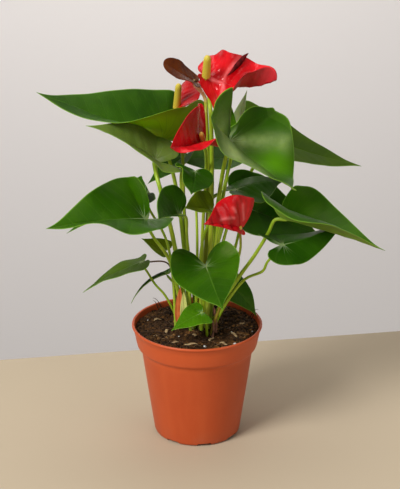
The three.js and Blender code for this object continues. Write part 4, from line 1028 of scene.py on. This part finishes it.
# spadix is where it ends and its radius, age goes from 0 for new to 1, and puff and
# spacing are how far its skin swells between the veins, and how far apart they are.
BLOOMS = [
    dict(name="top", crest=[[(0.27, -0.42), (0.22, -0.03), (0.24, 0.11), (0.35, 0.32),
                             (0.42, 0.43)], [(0.02, -0.02), (0.22, 0)]], age=0.55, edge="ROUND",
         hub=(8, -24, 348.5), tip=(67.5, -38.5, 349), face=(-0.15, -0.65, 0.75), lobes=(0.8, 1.2),
         rolls=((-55, -10, 45, 10, 30), (-80, -70, 10, 80, 115)),
         curls=((0, 0, 10, 0, 0), (0, 10, 30, -5, 15)), twist=-22, arch=-0.22, bend=-0.01,
         heel=(-20, -55), halves=(0.92, 0.84), foot=(9, -9),
         via=((13, -10, 232.5), (12, -16, 309), (10.5, -10.5, 327)), stalk=2,
         spadix=((9, -36, 369), 3.7)),
    dict(name="top_left", swelling=0.7, puff=0.03, rosy=26, age=1, tone="bronze", flush=0.5,
         edge="ROUND", hub=(-1.5, -8, 339), tip=(-28.5, -18.5, 359), face=(0.6, -0.25, 0.7),
         width=0.7, lobes=(0.4, 0.4), rolls=((10, 10, 20, 5, -5), (10, 0, 0, 15, 15)),
         curls=((10, 10, 15, 10, 10), (10, 10, 10, 10, 10)), twist=-15, arch=-0.02, bend=-0.02,
         heel=(15, 15), foot=(3.5, 4.5), via=((10, -5, 228.5), (8, -9.5, 311.5), (7, -0.5, 322)),
         stalk=1.8, spadix=((-8, -3, 341), 1.6)),
    dict(name="left", puff=0.04, tone="shaded", edge="POINTED", hub=(-18, 18, 308),
         tip=(-1, 49, 330), face=(-0.7, -0.2, 0.7), width=1.07, fold=(-11, -4), curl=(-23, -1),
         tipFold=(24, -20), rearFold=(5, 5), twist=11, arch=0.04, bend=-0.01, foot=(-6, 17),
         via=((-12, 12, 222.5), (-12.5, 11, 256), (-14.5, 26, 276), (-16.5, 26, 296)), stalk=1.5,
         spadix=((-16, 9, 332), 3.4)),
    dict(name="middle", puff=0.035, crest=[[(0.32, -0.58), (0.07, -0.43), (-0.01, -0.27)]],
         age=0.0, edge="POINTED", hub=(6, -36, 291.5), tip=(-22, -86, 304.5), face=(0.4, 0, 0.9),
         halves=(0.85, 1.21), lobes=(0.1, 0.1), twist=-5, arch=-0.01, bend=-0.01,
         rolls=((15, 20, 45, 20, -35), (75, 55, 70, 65, 55)), heel=(15, 15), foot=(3, -10.5),
         via=((5, -7.5, 199.5), (8, -12, 257), (7.5, -30, 282)), stalk=1.5,
         spadix=((3.5, -46, 304.5), 2.6)),
    dict(name="low", crest=[[(0.58, -0.08), (0.41, -0.14), (0.29, -0.16)],
                            [(0.37, -0.33), (0.31, -0.28)],
                            [(0.17, -0.45), (0.11, -0.32), (0.01, -0.17)]], spacing=0.26,
         puff=0.13, flush=0.85, age=0.1, edge="POINTED", hub=(37.5, -50, 219.5),
         tip=(5.5, -82, 235), face=(0.5, -0.1, 0.85), halves=(0.32, 1.23), lobes=(0.1, 0.4),
         rolls=((-20, -15, 0, 10, 10), (70, 75, 70, 45, 65)), arch=0.03, heel=(15, 25),
         foot=(13, -19.5), via=((30.5, -19, 157.5), (38, -36, 193), (38, -44, 208)), stalk=1.2,
         spadix=((23, -61, 226), 2.4)),
]
SPATHE_THICKNESS, SPATHE_OUTLINE = 0.6, 52
SPATHE_RELIEF = dict(spacing=0.15, puff=0.1, groove=0.3, ridge=0.5, rib=1.1, swell=0.5)
FLORETS_ROUND, FLORET_PITCH, FLORET_RELIEF = 9, 1.5, 0.22
SPADIX_SIDES, SPADIX_ROW_HEIGHT, SPADIX_ROUNDED = 96, 0.24, 0.18

SPATHE_TONES = {  # upper face dark and light, lower face, veins
    "red": ((0.46, 0.002, 0.006), (0.66, 0.008, 0.014), (0.42, 0.016, 0.022), (0.72, 0.07, 0.075)),
    "shaded": ((0.24, 0.002, 0.004), (0.46, 0.003, 0.006), (0.29, 0.005, 0.008),
               (0.36, 0.014, 0.016)),
    # Painted shade: a dark brown-red copy of the red for a spathe seen from below.
    "bronze": ((0.075, 0.014, 0.002), (0.13, 0.032, 0.004), (0.16, 0.04, 0.008),
               (0.10, 0.015, 0.004)),
}
spathe_finish = {}
for tone, (dark, light, under_side, vein) in SPATHE_TONES.items():
    material, tree, sockets = new_material(
        f"spathe_{tone}", Specular_IOR_Level=0.3, Specular_Tint=(1.0, 0.55, 0.5, 1),
        Coat_Weight=0.22 if tone == "red" else 0.0, Coat_Roughness=0.12,
        Subsurface_Weight=0.12, Subsurface_Radius=(1.0, 0.2, 0.15), Subsurface_Scale=0.0012,
    )
    veins = place_group(tree, leaf_veins, Along=attribute(tree, "along"),
                        Across=attribute(tree, "across"), Spacing=0.15, Width=0.009, Waver=0.03)
    flesh = place_group(tree, tissue, Cell_size=300.0, Blotch_size=60.0)
    ribs = maths("MAXIMUM", times(veins["Side veins"], 0.2), veins["Midrib"])
    colour = mix(flesh["Blotches"], dark, light)
    colour = mix(times(ribs, 0.6), colour, vein)
    under = attribute(tree, "under")
    lower = mix(times(ribs, 0.5), under_side, vein)
    colour = mix(under, colour, lower)
    # Pale pink along the crest lines: partly the skin's own pale vein, partly painted highlight
    # along the folds.
    pale = times(attribute(tree, "crest"), 0.55)
    colour = mix(pale, colour, (0.85, 0.2, 0.2))
    rim = ramp(attribute(tree, "margin"), 0.982, 0.997, 0.0, 0.5)
    wire(sockets, Base_Color=mix(rim, colour, dark), Roughness=plus(times(under, 0.22), 0.26))
    height = minus(times(flesh["Cells"], 0.3), ribs)
    wire(sockets, Normal=bump(height, 0.0003, 0.6))
    spathe_finish[tone] = material

spadix_flesh, tree, sockets = new_material(
    "spadix_florets", Roughness=0.55, Subsurface_Weight=0.15,
    Subsurface_Radius=(1.0, 0.6, 0.1), Subsurface_Scale=0.001,
)
age = attribute(tree, "age")
tint = colours(age, [(0.0, (1.0, 0.6, 0.1)), (0.4, (0.74, 0.54, 0.05)), (0.8, (0.5, 0.46, 0.05)),
                     (1.0, (0.1, 0.035, 0.01))])
# Painted shade: the pits between the floret heads are painted darker.
pit = attribute(tree, "pit")
tint = mix(times(pit, 0.55), tint, (0.33, 0.27, 0.02))
wire(sockets, Base_Color=tint, Normal=bump(speckle(tree, 2600, 2), 0.0001, 0.5))


def spadix_mesh(hub, end, radius):
    """A rod with round floret heads packed in two crossing spirals."""
    hub, end = np.array(hub, float), np.array(end, float)
    axis = end - hub
    height = np.linalg.norm(axis) + 0.4
    axis = unit(axis)
    across = unit(np.cross((1.0, 0, 0), axis))
    beside = np.cross(axis, across)
    sides, rows = SPADIX_SIDES, max(40, int(height / SPADIX_ROW_HEIGHT))
    points, pits = [hub], [1]
    for row in range(rows + 1):
        share = row / rows
        past = max(0, (share - (1 - SPADIX_ROUNDED)) / SPADIX_ROUNDED)
        rounding = math.sqrt(max(0.0, 1 - past ** 2))
        up = height * share
        for s in range(sides):
            angle = 2 * math.pi * s / sides
            p = FLORETS_ROUND * angle / (2 * math.pi)
            q = up / FLORET_PITCH
            head = abs(math.cos(math.pi * (p + q / 2)) * math.cos(math.pi * (p - q / 2))) ** 0.6
            size = radius * (1 - 0.2 * share) * rounding
            size = max(size + FLORET_RELIEF * (head - 0.5) * min(1, rounding * 2), 0.01)
            points.append(hub + axis * up + across * size * math.cos(angle)
                          + beside * size * math.sin(angle))
            pits.append(1 - head)
    points.append(hub + axis * (height + 0.02))
    pits.append(0.5)
    faces = fan(0, 1, sides, flip=True) + band(rows + 1, sides, first=1)
    faces += fan(len(points) - 1, 1 + rows * sides, sides)
    return np.array(points), faces, pits


for seed, plan in enumerate(BLOOMS, 40):
    plan = {**BLADE, "drop": 0.5 + 0.35 * plan["stalk"], "swelling": 0.15, "flush": 0.2,
            "tone": "red", "age": 0.5, **SPATHE_RELIEF, **plan}
    name = plan["name"]
    surface, length = blade_surface(plan)
    points, faces, numbers = blade_mesh(plan, SPATHE_EDGES[plan["edge"]], SPATHE_THICKNESS,
                                        SPATHE_OUTLINE, plan, seed)
    spathe = new_piece(f"bloom_spathe_{name}", points * MM, faces, spathe_finish[plan["tone"]],
                       numbers)
    fit_piece(spathe, f"spathe_{name}")
    place_stalk(f"bloom_stalk_{name}", plan, surface, f"peduncle_{name}", seed)
    points, faces, pits = spadix_mesh(plan["hub"], *plan["spadix"])
    rod = new_piece(f"bloom_spadix_{name}", points * MM, faces, spadix_flesh,
                    {"pit": pits, "age": np.full(len(points), plan["age"])})
    fit_piece(rod, f"spadix_{name}")

# A dark fold of the top spathe's rim, rolled up along its crest and standing a little
# over its edge: a closed lens that follows the spathe's own surface. Its near-black maroon is
# painted shade, for the shadowed hollow of the fold.
FOLD_LINE = [(0.27, 0.12), (0.32, 0.19), (0.37, 0.27), (0.42, 0.35), (0.46, 0.43), (0.49, 0.5)]
FOLD_WIDTH, FOLD_RISE, FOLD_THICKNESS, FOLD_SIDES = 2.9, 1.4, 0.5, 16
plan = {**BLADE, **next(plan for plan in BLOOMS if plan["name"] == "top")}
surface, length = blade_surface(plan)
a, b = smooth_path(FOLD_LINE, 40).T
up = facing(surface, a, b)
path = surface(a, b)
ahead = unit(np.gradient(path, axis=0))
sideways = np.cross(up, ahead)
share = np.linspace(0, 1, len(path))
reach = FOLD_WIDTH * np.sin(math.pi * share ** 1.2) ** 0.8 + 0.05
points = []
for turn in range(FOLD_SIDES):
    angle = 2 * math.pi * turn / FOLD_SIDES
    wide, high = math.cos(angle), math.sin(angle)
    rise = 0.4 + FOLD_RISE * (1 - wide ** 2) + FOLD_THICKNESS * high
    points.append(path + sideways * (reach * wide)[:, None] + up * rise)
points = np.stack(points, 1).reshape(-1, 3)
fold_shade, tree, sockets = new_material("fold_painted_shade", Specular_IOR_Level=0.08, Roughness=0.75)
grain = ramp(speckle(tree, 260, 3, (1, 1, 0.3)), 0.35, 0.7)
wire(sockets, Base_Color=mix(grain, (0.05, 0.003, 0.003), (0.12, 0.006, 0.007)))
fold = new_piece("bloom_fold_top", points * MM, closed_band(len(path), FOLD_SIDES), fold_shade)
fit_piece(fold)

# ----------------------------------------------------------------------
# Crown: dry papery sheaths left from old leaves, a withered stalk that leans out to the
# left, and stubby aerial roots that arch from the crown into the soil.
SHEATHS = [
    dict(name="sheath_brown", hub=(-16, -14, 113), tip=(-15, -13, 148), face=(-0.5, -1, 0),
         fold=(30, 30)),
    dict(name="sheath_green", hub=(-11, -20, 114), tip=(-12, -18, 146), face=(-0.2, -1, 0),
         fold=(30, 30)),
]
BARE_STEMS = {  # foot, points above it, radius, and 0 for a withered stalk or 1 for a root
    "stalk_dry": ((-17, 4), ((-22, 14, 148), (-28, 22, 158), (-53, 22, 158)), 0.8, 0.0),
    "root_tall": ((17, -15), ((17, -14, 118), (15, -9, 127)), 1.3, 1.0),
    "root_short": ((14, -27), ((15, -25, 112), (14, -20, 119)), 1.2, 1.0),
}
SHEATH_EDGE = [(1, 0), (0.88, 0.05), (0.6, 0.11), (0.3, 0.13), (0.05, 0.09), (-0.05, 0)]
SHEATH_THICKNESS, SHEATH_OUTLINE = 0.5, 26
SHEATH_RELIEF = dict(spacing=0.3, puff=0.02, groove=0.2, ridge=0.3, rib=0.8, swell=1.5)
SHEATH_COLOURS = {
    "sheath_brown": ((0.42, 0.085, 0.015), (0.68, 0.2, 0.05)),
    "sheath_green": ((0.35, 0.42, 0.06), (0.6, 0.62, 0.2)),
}
for seed, plan in enumerate(SHEATHS, 60):
    plan = {**BLADE, **plan}
    name = plan["name"]
    dark, light = SHEATH_COLOURS[name]
    paper, tree, sockets = new_material(f"{name}_paper", Specular_IOR_Level=0.35)
    fibre_lines = ramp(speckle(tree, 500, 4, (1, 1, 0.07)), 0.3, 0.7)
    wire(sockets, Base_Color=mix(fibre_lines, dark, light),
         Roughness=ramp(fibre_lines, 0.0, 1.0, 0.75, 0.5), Normal=bump(fibre_lines, 0.0003))
    points, faces, numbers = blade_mesh(plan, SHEATH_EDGE, SHEATH_THICKNESS, SHEATH_OUTLINE,
                                        SHEATH_RELIEF, seed)
    sheath = new_piece(name.replace("sheath", "papery_sheath"), points * MM, faces, paper, numbers)
    fit_piece(sheath, name)

withered, tree, sockets = new_material("withered_stem", Specular_IOR_Level=0.3)
cracks = ramp(speckle(tree, 420, 4, (1, 1, 0.2)), 0.35, 0.7)
tint = colours(attribute(tree, "kind"), [(0.0, (0.10, 0.05, 0.022)), (1.0, (0.30, 0.13, 0.075))])
wire(sockets, Base_Color=mix(cracks, tint, (0.045, 0.022, 0.012)),
     Roughness=ramp(cracks, 0, 1, 0.6, 0.85), Normal=bump(cracks, 0.0003))
for seed, (name, (foot, above, radius, kind)) in enumerate(BARE_STEMS.items(), 70):
    points, faces, numbers = stalk_mesh(rooted(foot, *above), radius, 0, seed)
    piece = new_piece(f"crown_{name}", points * MM, faces, withered,
                      {"kind": np.full(len(points), kind)})
    fit_piece(piece, name)

# ----------------------------------------------------------------------
# The studio: a pale table that ends behind the plant, a pale wall, one large soft light
# from the left and front, and the camera.
CAMERA_DISTANCE, CAMERA_ELEVATION = 1.5, 21.37
CAMERA_AIM = (0.00266, 0.0, 0.1846)
CAMERA_LENS = 122.28
TABLE = [(-2.2, -1.6), (2.2, -1.6), (2.2, 0.5606), (-2.2, -0.1976)]
WALL_AT = 2.6


def flat_stage(name, corners, dark, light, grain):
    """A flat sheet that isn't part of the plant, with a faint unevenness."""
    material, tree, sockets = new_material(name, Roughness=0.7, Specular_IOR_Level=0.3)
    uneven = ramp(speckle(tree, grain, 4), 0.3, 0.7)
    wire(sockets, Base_Color=mix(uneven, dark, light))
    sheet = new_piece(name, corners, [(0, 1, 2, 3)], material)
    sheet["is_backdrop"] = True


flat_stage("table_top", [(x, y, 0) for x, y in TABLE], (0.47, 0.382, 0.268), (0.478, 0.389, 0.273),
           3)
flat_stage("back_wall", [(-4, WALL_AT, -2), (4, WALL_AT, -2), (4, WALL_AT, 3), (-4, WALL_AT, 3)],
           (0.81, 0.765, 0.74), (0.815, 0.77, 0.745), 1.5)


def soft_light(name, place, aim, size, power, tint=(1, 1, 1)):
    light = bpy.data.lights.new(name, "AREA")
    light.shape, light.size, light.energy, light.color = "DISK", size, power, tint
    lamp = bpy.data.objects.new(name, light)
    lamp.location = place
    lamp.rotation_euler = (Vector(aim) - Vector(place)).to_track_quat("-Z", "Y").to_euler()
    bpy.context.scene.collection.objects.link(lamp)


PLANT = (0, 0, 0.2)
soft_light("key", (-1.8, -1.9, 2.3), PLANT, 1.4, 127)
soft_light("fill", (1.8, -1.7, 1.0), PLANT, 1.8, 13)
soft_light("overhead", (0.1, 0.3, 2.0), PLANT, 1.4, 12)
soft_light("wall_wash", (-0.15, 1.4, 0.85), (0.0, 2.6, -0.5), 1.1, 13, (1, 0.98, 0.965))
world = bpy.data.worlds.new("room")
world.use_nodes = True
feed(world.node_tree.nodes["Background"].inputs, ((1, 0.965, 0.92, 1), 0.22))
bpy.context.scene.world = world
bpy.context.scene.view_settings.view_transform = "Standard"

camera = bpy.data.objects.new("camera", bpy.data.cameras.new("camera"))
camera.data.lens = CAMERA_LENS
pitch = math.radians(CAMERA_ELEVATION)
look = Vector((0, math.cos(pitch), -math.sin(pitch)))
camera.location = Vector(CAMERA_AIM) - look * CAMERA_DISTANCE
camera.rotation_euler = (math.radians(90) - pitch, 0, 0)
bpy.context.scene.collection.objects.link(camera)
bpy.context.scene.camera = camera

low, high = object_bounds()
